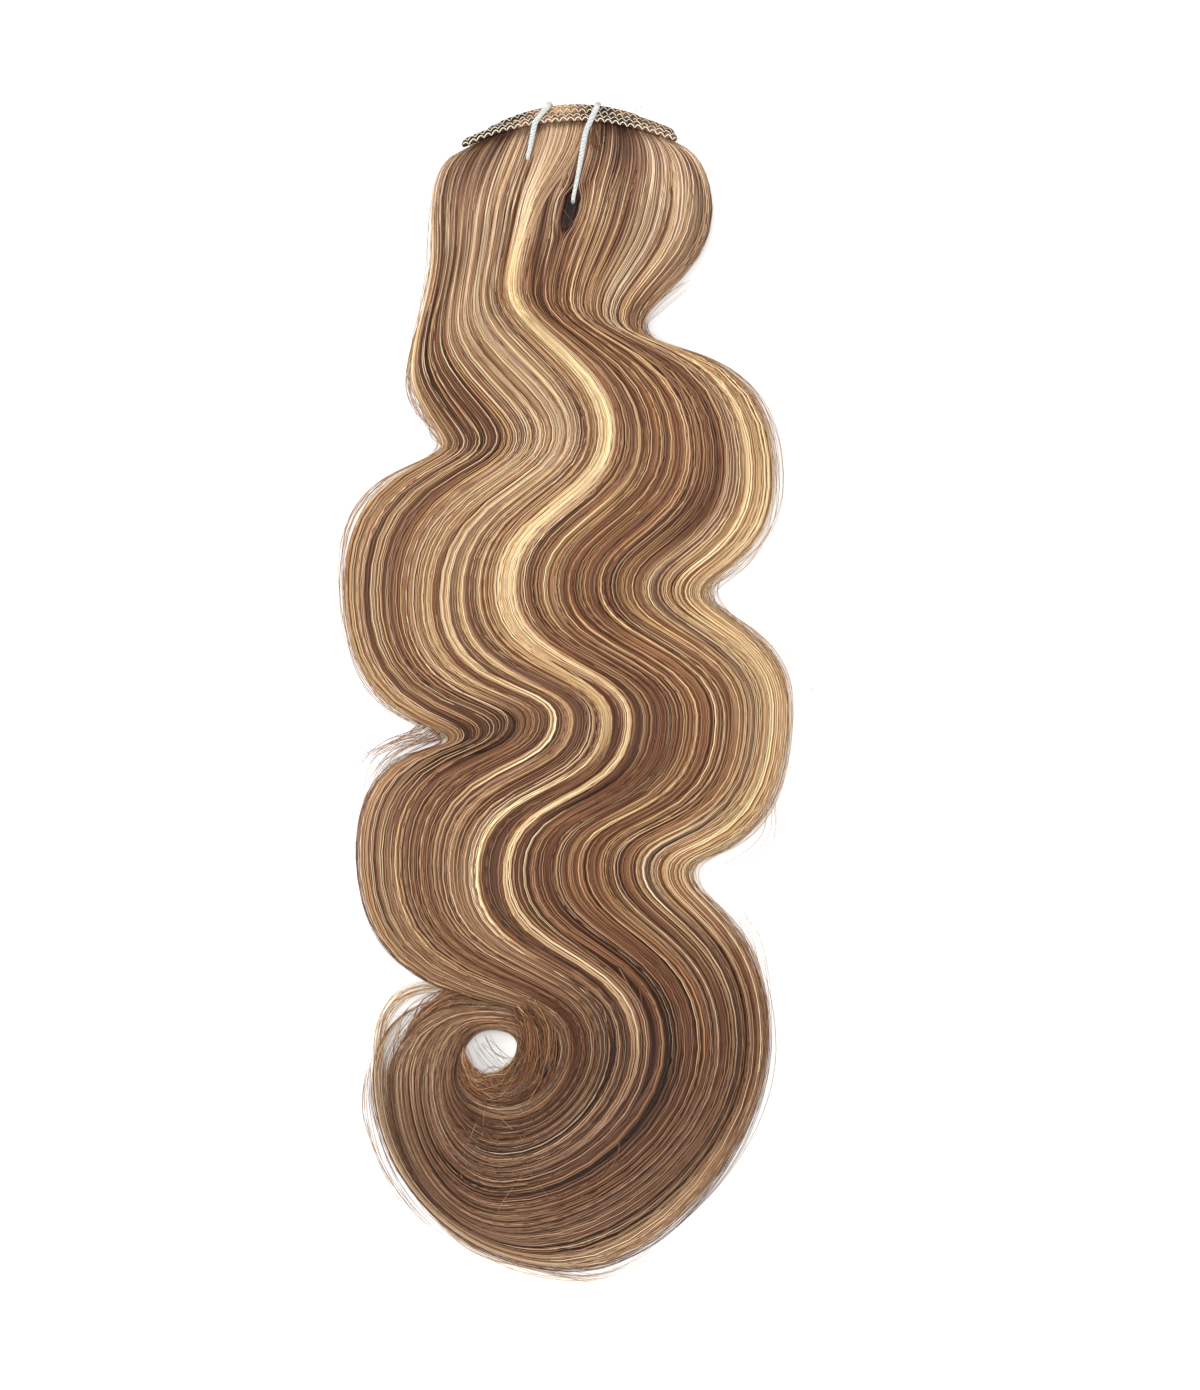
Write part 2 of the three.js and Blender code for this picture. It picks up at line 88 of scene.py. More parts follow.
GUIDES = np.array([0, 0.22, 0.45, 0.72, 1.0])
WAVES = [  # row, [x, y] of the five guides as shares, headings in degrees, fullness of the bends
    ("root", [(-.236, .034), (-.140, .020), (-.058, .015), (.104, .013), (.252, .029)],
     [-68, -34, -12, 2, 68], [1.2, 1.2, 1.2, 1.2]),
    ("shoulder", [(-.304, .125), (-.211, .110), (-.113, .095), (.072, .087), (.327, .090)],
     [0, -4, -9, -13, 0], [1, 1.1, 1, 1.4]),
    ("first left", [(-.350, .229), (-.236, .184), (-.142, .160), (.010, .170), (.172, .191)],
     [0] * 5, [1, 1.15, .7, .45]),
    ("first right", [(-.277, .292), (-.067, .285), (.063, .282), (.272, .298), (.468, .323)],
     [0] * 5, [.4, .4, 2.2, 1.9]),
    ("second left", [(-.500, .413), (-.325, .426), (-.172, .416), (.074, .414), (.312, .420)],
     [0] * 5, [2.1, 2.3, .55, .5]),
    ("second right", [(-.266, .545), (-.083, .529), (.092, .529), (.336, .527), (.500, .518)],
     [0] * 5, [.35, .3, 1.6, 2.5]),
    ("third left", [(-.470, .643), (-.343, .651), (-.186, .660), (.076, .655), (.275, .660)],
     [0] * 5, [2.3, 2, .5, .5]),
    ("third right", [(-.022, .809), (.031, .809), (.122, .808), (.322, .808), (.450, .805)],
     [0] * 5, [.75, 1, 2, 1.05]),
    ("curl bottom", [(-.151, .856), (-.138, .875), (-.147, .907), (-.124, .960), (.013, .999)],
     [-90, -90, -90, -90, -88], [1.17, 1.17, .9, 1.05]),
    ("curl left", [(-.243, .830), (-.261, .835), (-.293, .838), (-.375, .837), (-.438, .833)],
     [-180] * 5, [1.17, 1.17, 1.3, 1.1]),
    ("curl top", [(-.170, .795), (-.179, .790), (-.206, .785), (-.247, .778), (-.297, .771)],
     [-270, -270, -270, -266, -264], [1.17, 1.17, 1, 1.1]),
    ("curl right", [(-.113, .809), (-.097, .809), (-.077, .809), (-.053, .810), (-.036, .811)],
     [-360] * 5, [1.17, 1.17, 1, 1.17]),
    ("tip", [(-.208, .833), (-.206, .838), (-.204, .843), (-.202, .847), (-.199, .851)],
     [-465] * 5, [1.17, 1.17, 1.17, 1.17]),
]
LAST = len(WAVES) - 1

# %% the four wefts, from the floor up
WEFTS = {  # band: left end, middle and right end as shares; tall: share of BAND_TALL; start, end: its hair
    "back": dict(band=[(-.222, .034), (.008, .006), (.234, .032)], tall=1.24, start=.012, end=.985,
                 clips=(.15, .83)),
    "third": dict(band=[(-.183, .024), (.020, .007), (.248, .026)], tall=1.06, start=0, end=1,
                  clips=(.2, .8)),
    "second": dict(band=[(-.160, .021), (.002, .005), (.170, .015)], tall=1, start=.006, end=.992,
                   clips=(.23, .77)),
    "front": dict(band=[(-.238, .036), (.006, .013), (.252, .031)], tall=.88, start=.018, end=.98,
                  clips=(.2, .8)),
}
FRONT = WEFTS["front"]
LAYERS = {name: layer for layer, name in enumerate(WEFTS)}
ROOT_SHARES = [0, .20, .365, .70, 1]


def place(x, y):
    return np.array([x * WIDTH, (0.5 - y) * LENGTH])


def on_band(weft, share):
    """Plan position on a band's centre line, at a share from its left to its right end."""
    (ax, ay), (mx, my), (bx, by) = [place(*p) for p in weft["band"]]
    x = ax + (bx - ax) * share
    curve = ((by - my) / (bx - mx) - (my - ay) / (mx - ax)) / (bx - ax)
    return x, ay + (my - ay) / (mx - ax) * (x - ax) + curve * (x - ax) * (x - mx)


def band_size(weft):
    """Length and half height of a band in mm."""
    left, _, right = weft["band"]
    return abs(place(*right)[0] - place(*left)[0]), weft["tall"] * BAND_TALL / 2


# The plan above starts at the middle of the page. The solid's box says how far CAD has moved it.
band_top = max(on_band(FRONT, i / 12)[1] for i in range(13)) + band_size(FRONT)[1]
front_low, front_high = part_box("front_weft_band")
SHIFT = np.array([front_low[0] / MM - FRONT["band"][0][0] * WIDTH, front_high[1] / MM - band_top])
print("CAD plan shift in mm:", SHIFT.round(3))

# %% plan of one hair
ROW_SPOTS = np.array([[place(*p) for p in spots] for _, spots, _, _ in WAVES])
ROW_TURNS = np.radians([turns for _, _, turns, _ in WAVES])
ROW_FULL = np.array([full for _, _, _, full in WAVES], dtype=float)


def hermite(a, leave, b, enter, t):
    s, c = t * t, t * t * t
    return (2 * c - 3 * s + 1) * a + (c - 2 * s + t) * leave + (3 * s - 2 * c) * b + (c - s) * enter


def across(values, u):
    """Smooth curve through one value per guide (values has five columns), read at the shares u."""
    step = np.diff(GUIDES)
    k = np.clip(np.searchsorted(GUIDES, u) - 1, 0, 3)
    slope = np.diff(values, axis=1) / step
    bend = np.concatenate([slope[:, :1], (slope[:, 1:] * step[:-1] + slope[:, :-1] * step[1:])
                           / (step[:-1] + step[1:]), slope[:, -1:]], axis=1)
    pick = lambda table, i: np.take_along_axis(table, i[:, None], axis=1)[:, 0]
    return hermite(pick(values, k), pick(bend, k) * step[k], pick(values, k + 1), pick(bend, k + 1) * step[k],
                   (u - GUIDES[k]) / step[k])


def between(values, u):
    """Straight value between guides, with the same five columns."""
    k = np.clip(np.searchsorted(GUIDES, u) - 1, 0, 3)
    t = np.clip((u - GUIDES[k]) / np.diff(GUIDES)[k], 0, 1)
    a = np.take_along_axis(values, k[:, None], axis=1)[:, 0]
    b = np.take_along_axis(values, k[:, None] + 1, axis=1)[:, 0]
    return a + (b - a) * t


def plan(weft, u, at):
    """x and y in mm of hairs at shares u across and wave rows at. u and at have the same shape."""
    shape = np.shape(at)
    u, at = np.ravel(u).astype(float), np.ravel(at).astype(float)
    row = np.clip(np.floor(at).astype(int), 0, LAST - 1)
    ends = []
    for side in (0, 1):
        r = row + side
        x, y = [across(ROW_SPOTS[r][:, :, axis], u) for axis in (0, 1)]
        root_x, root_y = on_band(weft, np.interp(u, GUIDES, ROOT_SHARES))
        root_y = root_y - band_size(weft)[1] - GAP - SLACK
        x, y = np.where(r == 0, root_x, x), np.where(r == 0, root_y, y)
        full = ROW_FULL[r]
        full = full[:, 1 - side] + (full[:, 3 - side] - full[:, 1 - side]) * u
        turn = between(ROW_TURNS[r], u)
        ends.append((x, y, np.sin(turn) * full, -np.cos(turn) * full))
    (ax, ay, adx, ady), (bx, by, bdx, bdy) = ends
    chord, t = np.hypot(bx - ax, by - ay), at - row
    x = hermite(ax, adx * chord, bx, bdx * chord, t)
    y = hermite(ay, ady * chord, by, bdy * chord, t)
    return (x + SHIFT[0]).reshape(shape), (y + SHIFT[1]).reshape(shape)


for name, u in (("left", 0.02), ("middle", 0.5), ("right", 0.98)):
    x, y = plan(FRONT, np.full(400, u), np.linspace(0, LAST, 400))
    print("length of a", name, "hair in mm:", round(float(np.hypot(np.diff(x), np.diff(y)).sum())))

# %% [markdown]
# The height of the pile
# The wefts are thin at the bands, where clips and stitches keep them flat, and swell below, where the hair
# is free. The same few named rows as in the CAD model give the height of one curtain of hair, and the sides
# are lower than the middle. The top curtain is broken into rounded locks with furrows between them.

# %% height of the pile and its locks
PILE = np.array([  # wave row, over, grip, swell, round
    (0, 1, 1, .75, 0), (.42, 1, 1, .75, 0), (.75, 1.25, .1, .91, .6), (1.15, 1.25, 0, .98, 1),
    (2, 0, 0, 1, 1), (4, 0, 0, .87, 1), (7, 0, 0, .81, 1), (9, 0, 0, .70, 1), (12, 0, 0, .45, 1)])
LOCKS = [  # ends at, depth of the furrow, opens from row, sway
    (.15, .75, .6, .012), (.32, .9, 1.2, .018), (.48, .6, .3, .015), (.62, 1, .5, .022),
    (.80, .85, 1.6, .018), (1, 0, 0, 0)]


def pile_at(at):
    over, grip, swell, domed = [np.interp(at, PILE[:, 0], PILE[:, column]) for column in (1, 2, 3, 4)]
    lift = over * FIRST_CLIP_Z + grip * (CLIP_THICK + GAP)
    layer = swell * CURTAIN + (BAND_PITCH - swell * CURTAIN) * grip
    return lift, layer, GAP + SLACK + grip * (CLIP_THICK + GAP), domed


def level(k, u, at):
    """Height of the underside of curtain number k."""
    lift, layer, _, domed = pile_at(at)
    return lift + k * layer * (1 - domed * EDGE_DROP * (2 * u - 1) ** 2)


def smooth(a, b, x):
    t = np.clip((x - a) / (b - a), 0, 1)
    return t * t * (3 - 2 * t)


def drift(seed, x, y):
    """Smooth wandering from -1 to 1, the same on every run."""
    lattice = np.random.default_rng(seed).uniform(-1, 1, (64, 64))
    i, j = np.floor(x).astype(int), np.floor(y).astype(int)
    s, t = smooth(0, 1, x - i), smooth(0, 1, y - j)
    a, b = lattice[i % 64, j % 64], lattice[(i + 1) % 64, j % 64]
    c, d = lattice[i % 64, (j + 1) % 64], lattice[(i + 1) % 64, (j + 1) % 64]
    return (a + (b - a) * s) * (1 - t) + (c + (d - c) * s) * t


# %% partings: places where the locks stand apart and the hair below shows, darkened with painted shade
# The last column, darkness, is painted shade: how much darker the hair is made in a parting.
PARTINGS = [  # name, share across, wave row, half length in rows, half width as a share, depth in mm, darkness
    ("right tie", .640, 1.02, .22, .021, 3.8, .85),
    ("left tie", .455, .52, .12, .007, .8, .10),
    ("below the painted light on the second left bulge", .474, 4.85, .30, .009, 1.5, .14),
    ("above the painted light on the third left bulge", .474, 5.90, .30, .010, 1.5, .14),
    ("tail, left of its light line", .415, 7.00, .35, .008, 1.6, .16),
    ("tail, right of its light line", .560, 6.85, .40, .009, 1.8, .16),
    ("brown panel", .770, 4.60, .35, .008, 1.2, .12),
    ("left side", .170, 5.30, .35, .010, 1.0, .08),
]


def partings(at):
    """Share across, half width, weight at these rows, depth and painted shade of each parting in turn."""
    for _, share, row, half_long, wide, deep, dark in PARTINGS:
        yield share, wide, np.exp(-((at - row) / half_long) ** 4), deep, dark


FURROW_SHARE = 0.75      # of the solid's furrows. Its plain locks need them deeper than loose strands do.


def lock_cut(u, at):
    """Depth of the furrows of the top curtain, as a share of its thickness."""
    share = (u - FRONT["start"]) / (FRONT["end"] - FRONT["start"])
    domed = pile_at(at)[3]
    cut, start, start_deep = np.zeros_like(u), np.zeros_like(u), 0.0
    for i, (to, deep, opens, sway) in enumerate(LOCKS):
        end = to + sway * domed * np.sin(1.7 * at + 2.1 * i)
        end_deep = LOCK_DEPTH * deep * smooth(opens, opens + 1, at) * domed
        s = (share - start) / (end - start)
        inside = (s >= 0) & (s <= 1)
        furrow = np.where(s < .5, start_deep, end_deep) * np.abs(2 * s - 1) ** 3
        cut = np.where(inside, furrow, cut)
        start, start_deep = end, end_deep
    return FURROW_SHARE * cut


def top_height(u, at):
    """Height in mm of the visible top of the pile."""
    low, high = level(3, u, at), level(4, u, at) - pile_at(at)[2]
    free = smooth(.2, 1.3, at)
    small = 0.45 * drift(3, u * 30, at * 0.9) + 0.28 * drift(4, u * 62 + 0.4 * np.sin(at), at * 1.3)
    z = low + (high - low) * (1 - lock_cut(u, at)) + free * (small - 0.35)
    for share, wide, weight, deep, _ in partings(at):
        z = z - deep * np.exp(-((u - share) / wide) ** 4) * weight
    return z


print("top of the pile in mm:", round(float(top_height(np.full(99, .5), np.linspace(0, 12, 99)).max()), 2))

# %% [markdown]
# The colours along the hair
# Highlighted hair is dyed in slices before it is sewn, so the colour follows the hair and not the picture.
# Each slice is one named line here: its place across, its half width, the wave rows it runs between and its
# tone, from 0 for deep brown to 1 for pale blond. Painting an image could do this, but a list stays sharp.
# A few slices are not dye but painted shade or painted light on the hollows, folds and bulges of the waves.

# %% named slices of colour
SLICES = [  # name, share across at its start and end, half width, from row, to row, fade in rows, tone, strength
    ("blond roots", .535, .520, .085, -1, .40, .45, .52, .85),
    ("dark roots left", .150, .150, .110, -1, .45, .40, .18, .8),
    ("dark roots right", .740, .740, .080, -1, .60, .50, .12, .85),
    ("light right end", .905, .905, .090, -1, .60, .50, .56, .8),
    ("main blond streak", .487, .482, .040, .25, 4.6, .55, .93, .90),
    ("its left branch", .455, .412, .015, 4.5, 6.7, .45, .90, .92),
    ("its right branch", .504, .508, .011, 4.7, 6.9, .40, .86, .85),
    ("dark gap between them", .480, .464, .013, 4.8, 6.6, .35, .24, .70),
    ("its soft left side", .425, .395, .045, .8, 4.4, .80, .58, .38),
    ("its soft right side", .522, .522, .026, .8, 4.4, .60, .62, .45),
    ("brown beside it", .566, .566, .034, .5, 7.0, .50, .38, .60),
    ("brown panel", .690, .690, .110, .8, 6.6, .70, .48, .55),
    ("blond panel on the right", .875, .885, .095, .40, 2.0, .50, .72, .78),
    ("shade in the first hollow", .960, .960, .050, 1.6, 2.3, .30, .40, .60),
    ("brown right edge", 1.0, 1.0, .016, .3, 1.5, .30, .38, .7),
    ("blond right edge", .950, .945, .080, 2.5, 6.3, .60, .85, .8),
    ("shade in the second hollow", .930, .930, .060, 3.6, 4.3, .30, .50, .60),
    ("shade in the third hollow", .930, .930, .060, 5.7, 6.4, .30, .54, .55),
    ("fine bright line", .588, .588, .005, 2.5, 4.3, .40, .97, .9),
    ("its twin", .606, .602, .004, 3.2, 4.6, .40, .82, .7),
    ("second bright line", .668, .668, .006, 4.5, 6.0, .40, .88, .75),
    ("rose lines on the left", .290, .290, .090, .5, 3.8, .70, .72, .55),
    ("rose line one", .235, .235, .010, .5, 5.0, .60, .84, .7),
    ("rose line two", .290, .290, .008, .5, 5.6, .60, .88, .7),
    ("rose line three", .345, .345, .012, .8, 4.8, .60, .82, .7),
    ("rose line four", .180, .180, .007, 1.5, 5.0, .60, .74, .6),
    ("olive left side", .110, .110, .070, 1.7, 3.4, .40, .44, .60),
    # painted shade: the next three slices darken the hair where the waves fall into shade
    ("painted shade beside the blond edge", .815, .800, .030, 2.2, 3.6, .40, .26, .55),
    ("painted shade towards the second hollow", .740, .740, .055, 3.3, 4.4, .40, .28, .45),
    ("painted shade towards the third hollow", .780, .780, .050, 5.9, 6.9, .40, .28, .45),
    # painted light on the two left bulges, and painted shade in the hollow between them
    ("painted light on the second left bulge", .130, .130, .120, 3.2, 4.3, .40, .55, .45),
    ("painted light on the third left bulge", .130, .130, .120, 5.9, 6.5, .40, .56, .50),
    ("painted shade in the left hollow", .120, .120, .130, 4.70, 5.6, .35, .24, .75),
    ("light lines in the left bulge", .075, .060, .008, 3.5, 4.6, .40, .80, .6),
    ("light left edge", .020, .020, .012, 3.2, 6.6, .40, .78, .5),
    ("line in the tail", .450, .440, .010, 6.5, 8.6, .40, .72, .70),
    ("lines right of it", .515, .505, .008, 6.7, 7.6, .30, .64, .6),
    ("light edge of the tail", .970, .970, .030, 6.3, 8.3, .50, .62, .6),
    # painted shade in the fold of the tail
    ("painted shade in the fold of the tail", .640, .640, .070, 6.4, 7.8, .40, .24, .52),
    ("shade left of the hole", .130, .130, .170, 9.0, 9.9, .35, .33, .65),
    ("light lock left of it", .640, .660, .060, 8.9, 9.9, .40, .64, .6),
    ("light hairs over the hole", .130, .130, .110, 10.1, 11.0, .35, .58, .5),
    ("light rim of the curl", .955, .965, .035, 7.2, 9.2, .40, .68, .6),
]


def rows_window(at, first, last, fade):
    return smooth(first - fade, first + fade, at) * (1 - smooth(last - fade, last + fade, at))


def tone_at(u, at, parting_shade=.25):
    """Tone of the hair, from 0 deep brown to 1 pale blond, with painted shade and light in it. parting_shade: how
    much of a parting's painted shade it takes.
    """
    tone = 0.495 + 0.07 * drift(11, u * 9, at * 0.5) + 0.06 * drift(12, u * 34, at * 0.6)
    tone = tone - .16 * smooth(6.3, 7.2, at)                   # the tail is darker,
    tone = tone + (0.64 - tone) * smooth(8.2, 9.6, at) * 0.65   # and the curl is one even brown
    fine = 0.07 * drift(14, u * 95, at * .9) + 0.15 * drift(15, u * 360, at * .9)
    for _, start, end, half, first, last, fade, goal, strength in SLICES:
        middle = start + (end - start) * smooth(first, last, at)
        weight = np.exp(-np.abs((u - middle) / half) ** 3) * rows_window(at, first, last, fade)
        tone = tone + (goal - tone) * weight * strength
    tone = tone + fine * (1 - .35 * smooth(8.0, 9.4, at))
    # painted light: the hair right at its outer edges is made lighter, so the shaded sides of the pile don't show
    # as a dark outline
    tone = tone + .20 * np.exp(-(np.clip(np.minimum(u, 1.46 - u), 0, 1) / .010) ** 2)
    # painted shade: the hair is made darker in the partings, where it lies in shade
    for share, wide, weight, _, dark in partings(at):
        tone = tone - parting_shade * dark * (np.exp(-((u - share) / wide) ** 4) * weight)
    return tone


def warmth_at(u, at):
    """0 for ash and rose-beige hair, 1 for reddish brown and golden hair."""
    warmth = .52 + .10 * drift(13, u * 11, at * .4)
    panel, rose, streak = [np.exp(-((u - middle) / half) ** 4)
                           for middle, half in ((.66, .15), (.28, .12), (.478, .045))]
    warmth = warmth + .22 * panel * rows_window(at, 1.2, 6.8, .6)
    warmth = warmth - .14 * rose * rows_window(at, .6, 3.8, .6)
    warmth = warmth + .16 * (streak + smooth(.89, .94, u)) * rows_window(at, 1.4, 6.4, .6)
    warmth = warmth - .26 * (1 - smooth(.8, 1.8, at)) - .14 * smooth(.78, .86, u) * (1 - smooth(1.6, 2.6, at))
    warmth = warmth - .16 * smooth(6.8, 8.2, at) - .14 * smooth(.84, .93, u) * smooth(7.0, 7.8, at)
    return np.clip(warmth, 0, 1)


print("tone of the streak and of the brown beside it:",
      tone_at(np.array([.478, .60]), np.array([4.0, 4.0])).round(2))

# %% [markdown]
# A rolled grid
# Curtains, bands, strands and threads are all long closed forms with a soft section. Each one starts as a
# grid primitive that is rolled up: its width goes round the section, its length runs along the hair, the two
# long sides are merged, and each end is drawn in to one point. A cylinder would do, but the grid brings a
# tidy map with it, where each face has its own place, and that map is what a pattern is baked on.

# %% rolled grid
def read(items, key, wide=1, kind=float):
    """One property of many vertices, faces or corners, in rows of so many numbers."""
    values = np.empty(len(items) * wide, dtype=kind)
    items.foreach_get(key, values)
    return values if wide == 1 else values.reshape(-1, wide)


def rolled_grid(name, around, along):
    """Closed form with its section on the unit circle and its length from 0 to 1 along z."""
    bpy.ops.object.select_all(action="DESELECT")
    bpy.ops.mesh.primitive_grid_add(x_subdivisions=around, y_subdivisions=along, size=1, calc_uvs=True)
    piece = bpy.context.object
    mesh = piece.data
    piece.name = mesh.name = name
    x, y, _ = read(mesh.vertices, "co", 3).T
    angle, t = 2 * np.pi * (x + .5), y + .5
    open_ = (np.abs(t - .5) < .5 - 1e-5).astype(float)
    co = np.stack([np.cos(angle) * open_, np.sin(angle) * open_, t], axis=1)
    mesh.vertices.foreach_set("co", co.ravel())
    bpy.ops.object.mode_set(mode="EDIT")
    bpy.ops.mesh.select_all(action="SELECT")
    bpy.ops.mesh.remove_doubles(threshold=1e-6)
    bpy.ops.mesh.normals_make_consistent(inside=False)
    bpy.ops.object.mode_set(mode="OBJECT")
    bpy.ops.object.shade_smooth()
    map_ = mesh.uv_layers[0]
    map_.name = "OFBake"
    map_.uv.foreach_set("vector", 0.01 + 0.98 * read(map_.uv, "vector", 2).ravel())
    return piece


def read_rolled(piece):
    """Share round the section, from 0 to 1, share along, and 1 on the section or 0 at an end point."""
    co = read(piece.data.vertices, "co", 3)
    turn = np.arctan2(co[:, 1], co[:, 0]) / (2 * np.pi)
    return np.where(turn < -1e-6, turn + 1, np.abs(turn)), co[:, 2], np.hypot(co[:, 0], co[:, 1]) > .5


def set_points(mesh, co):
    mesh.vertices.foreach_set("co", np.asarray(co, dtype=np.float32).ravel())
    mesh.update()


def face_outwards(mesh):
    """A closed form turned inside out has a negative volume. Its faces are turned round then."""
    mesh.calc_loop_triangles()
    corners = np.array([t.vertices[:] for t in mesh.loop_triangles])
    a, b, c = [read(mesh.vertices, "co", 3)[corners[:, i]] for i in range(3)]
    if np.einsum("ij,ij->i", a, np.cross(b, c)).sum() < 0:
        mesh.flip_normals()


def set_marks(mesh, flow, tone, warmth=None):
    """flow: mm across and along the hair and a number for each strand; tone and warmth: 0 to 1."""
    for name, values in (("flow", flow), ("tone", tone), ("warmth", warmth)):
        if values is not None:
            kind, key = ("FLOAT_VECTOR", "vector") if name == "flow" else ("FLOAT", "value")
            mark = mesh.attributes.new(name, kind, "POINT").data
            mark.foreach_set(key, np.asarray(values, np.float32).ravel())


# %% [markdown]
# Curtains of hair
# One curtain is the mass of hair under one band. It is a closed sheet with a rounded edge at each side: the
# ring of the rolled grid goes over the top from left to right and back underneath. The front curtain gets
# many more faces than the others, because its locks, furrows and partings show.

# %% curtains
def ring_share(u, at):
    """The outer hairs end before the inner turn of the curl, and the inner ones spread out to fill it."""
    return u * (1 + 0.46 * smooth(9.8, 10.7, at))


NOMINAL_WIDE = 125.0     # mm across the hair where the pile is widest, the scale of every pattern across
EDGE_ROUND = 2.4         # mm over which a side edge is rounded
CURTAIN_INSET = .004     # share by which a curtain is narrower than the strands over it
CURTAIN_SINK = 0.7       # mm from the middle height of the strands down to the front curtain
PATTERN_LONG = 1.5       # length of the pattern along the hair, for each mm of LENGTH


def lay_curtain(name, around, along, top_share):
    weft, layer = WEFTS[name], LAYERS[name]
    piece = rolled_grid(name + "_hair_curtain", around, along)
    turn, t, on_ring = read_rolled(piece)
    at = np.clip((t - 1 / along) / (1 - 2 / along), 0, 1) * (LAST + .03) - .03
    on_top = turn <= top_share
    share = np.where(on_top, turn / top_share, 1 - (turn - top_share) / (1 - top_share))
    share = np.where(on_ring, share, .5)
    start = weft["start"] + CURTAIN_INSET + 0 * at
    end = ring_share(weft["end"] - CURTAIN_INSET - (weft["end"] - .70) * smooth(8.6, 9.7, at), at)
    end = start + (end - start) * (1 - .9 * smooth(11.2, 12.03, at))
    u = start + (end - start) * share
    x, y = plan(weft, u, at)
    low, high = level(layer, u, at), level(layer + 1, u, at) - pile_at(at)[2]
    if name == "front":
        high = top_height(u, at) - CURTAIN_SINK
    high = low + (high - low) * (1 - .7 * smooth(11, 12, at))
    left, right = plan(weft, start, at), plan(weft, end, at)
    wide = np.hypot(right[0] - left[0], right[1] - left[1])
    edge = np.clip(np.minimum(share, 1 - share) * wide / EDGE_ROUND, 0, 1)
    bulge = np.sqrt(1 - (1 - edge) ** 2)
    middle = (low + high) / 2
    z = np.where(on_top, middle + (high - middle) * bulge, middle - (middle - low) * bulge)
    z = np.where(on_ring, z, middle)
    set_points(piece.data, np.stack([x, y, np.maximum(z, 0.02)], axis=1) * MM)
    face_outwards(piece.data)
    along_mm = np.interp(at, range(LAST + 1), LENGTH * PATTERN_LONG * np.arange(LAST + 1) / LAST)
    # painted light: the curtain's side edges are made lighter, more so in the tail, so its shaded sides read
    # pale. The whole curtain is also painted .05 darker, as shade under the strands over it.
    painted_edge_light = .30 * np.exp(-(np.minimum(share, 1 - share) * wide / 2.2) ** 2) * smooth(.3, 1, at)
    painted_edge_light = painted_edge_light * (1 + .6 * smooth(6.5, 7.5, at))
    set_marks(piece.data, np.stack([u * NOMINAL_WIDE, along_mm, np.full_like(u, layer * 7.0)], axis=1),
              tone_at(u, at, 1) - .05 + painted_edge_light, warmth_at(u, at))
    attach(piece, "root")
    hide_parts(name + "_weft_hair")
    print(piece.name, "faces:", len(piece.data.polygons))
    return piece


curtains = [lay_curtain(name, 42, 160, .6) for name in ("back", "third", "second")]
curtains.append(lay_curtain("front", 164, 220, .84))

# %% [markdown]
# Strands
# The light catches single strands, which a smooth sheet can't show. One strand is modelled once, as a rolled
# grid with three sides and a point at each end. It is then copied many hundreds of times into one mesh, and
# each copy is laid along its own hair. A hair system would draw them too, but a mesh can be exported. Three
# sides are enough for a strand that is less than a millimetre wide.

# %% one strand, modelled once
STRAND_SIDES, STRAND_STEPS = 3, 92
SHARED_ROWS = 8          # down to here all strands of a tress have the same steps


def even_turns(steps):
    """Wave rows at which a long strand turns by about the same angle from each step to the next.
    The rows above the first left turn get more steps, because strands go round the tie's hole there."""
    at = np.linspace(0, LAST, 2401)
    weight = 0
    for u in (.1, .3, .5, .7, .9):
        x, y = plan(FRONT, u + 0 * at, at)
        turned = np.abs(np.gradient(np.unwrap(np.arctan2(np.gradient(y), np.gradient(x)))))
        ahead = np.hypot(np.gradient(x), np.gradient(y))
        weight = weight + turned / turned.sum() + .6 * ahead / ahead.sum()
    way = np.convolve(weight * (2.3 - 1.3 * smooth(1.5, 2.2, at)), np.ones(41) / 41, "same").cumsum()
    return np.interp(np.linspace(way[0], way[-1], steps + 1), way, at)


ROW_OF_STEP = even_turns(STRAND_STEPS)


def rows_of_strands(tip, shift):
    """Wave rows at every step of strands that end at the rows tip. Neighbours in a tress have the same steps,
    so they never cut one another. shift: steps by which a tress is off, so no crease runs across the hair."""
    steps = np.arange(STRAND_STEPS + 1)
    step = steps[None] + 0 * tip[:, None]
    step = step + shift[:, None] * smooth(0, 3, step) * (1 - smooth(STRAND_STEPS - 3, STRAND_STEPS, step))
    shared = np.interp(SHARED_ROWS, ROW_OF_STEP, steps)
    end = np.interp(np.maximum(tip, SHARED_ROWS + .5), ROW_OF_STEP, steps)[:, None]
    step = np.where(step <= shared, step, shared + (step - shared) * (end - shared) / (STRAND_STEPS - shared))
    return np.interp(step, steps, ROW_OF_STEP)


def master_strand(steps):
    """Arrays of one strand: section, place along, faces and map, ready to be copied."""
    piece = rolled_grid("master_strand", STRAND_SIDES, steps)
    mesh = piece.data
    master = dict(
        co=read(mesh.vertices, "co", 3), corners=read(mesh.loops, "vertex_index", kind=int),
        starts=read(mesh.polygons, "loop_start", kind=int), uv=read(mesh.uv_layers[0].uv, "vector", 2),
        steps=steps)
    bpy.data.objects.remove(piece)
    return master


def each_point(values, count, points):
    """One number, one for each strand or one for each point, as one for each point."""
    rows = 1 if np.size(values) == 1 else count
    return np.broadcast_to(np.reshape(values, (rows, -1)), (count, points))


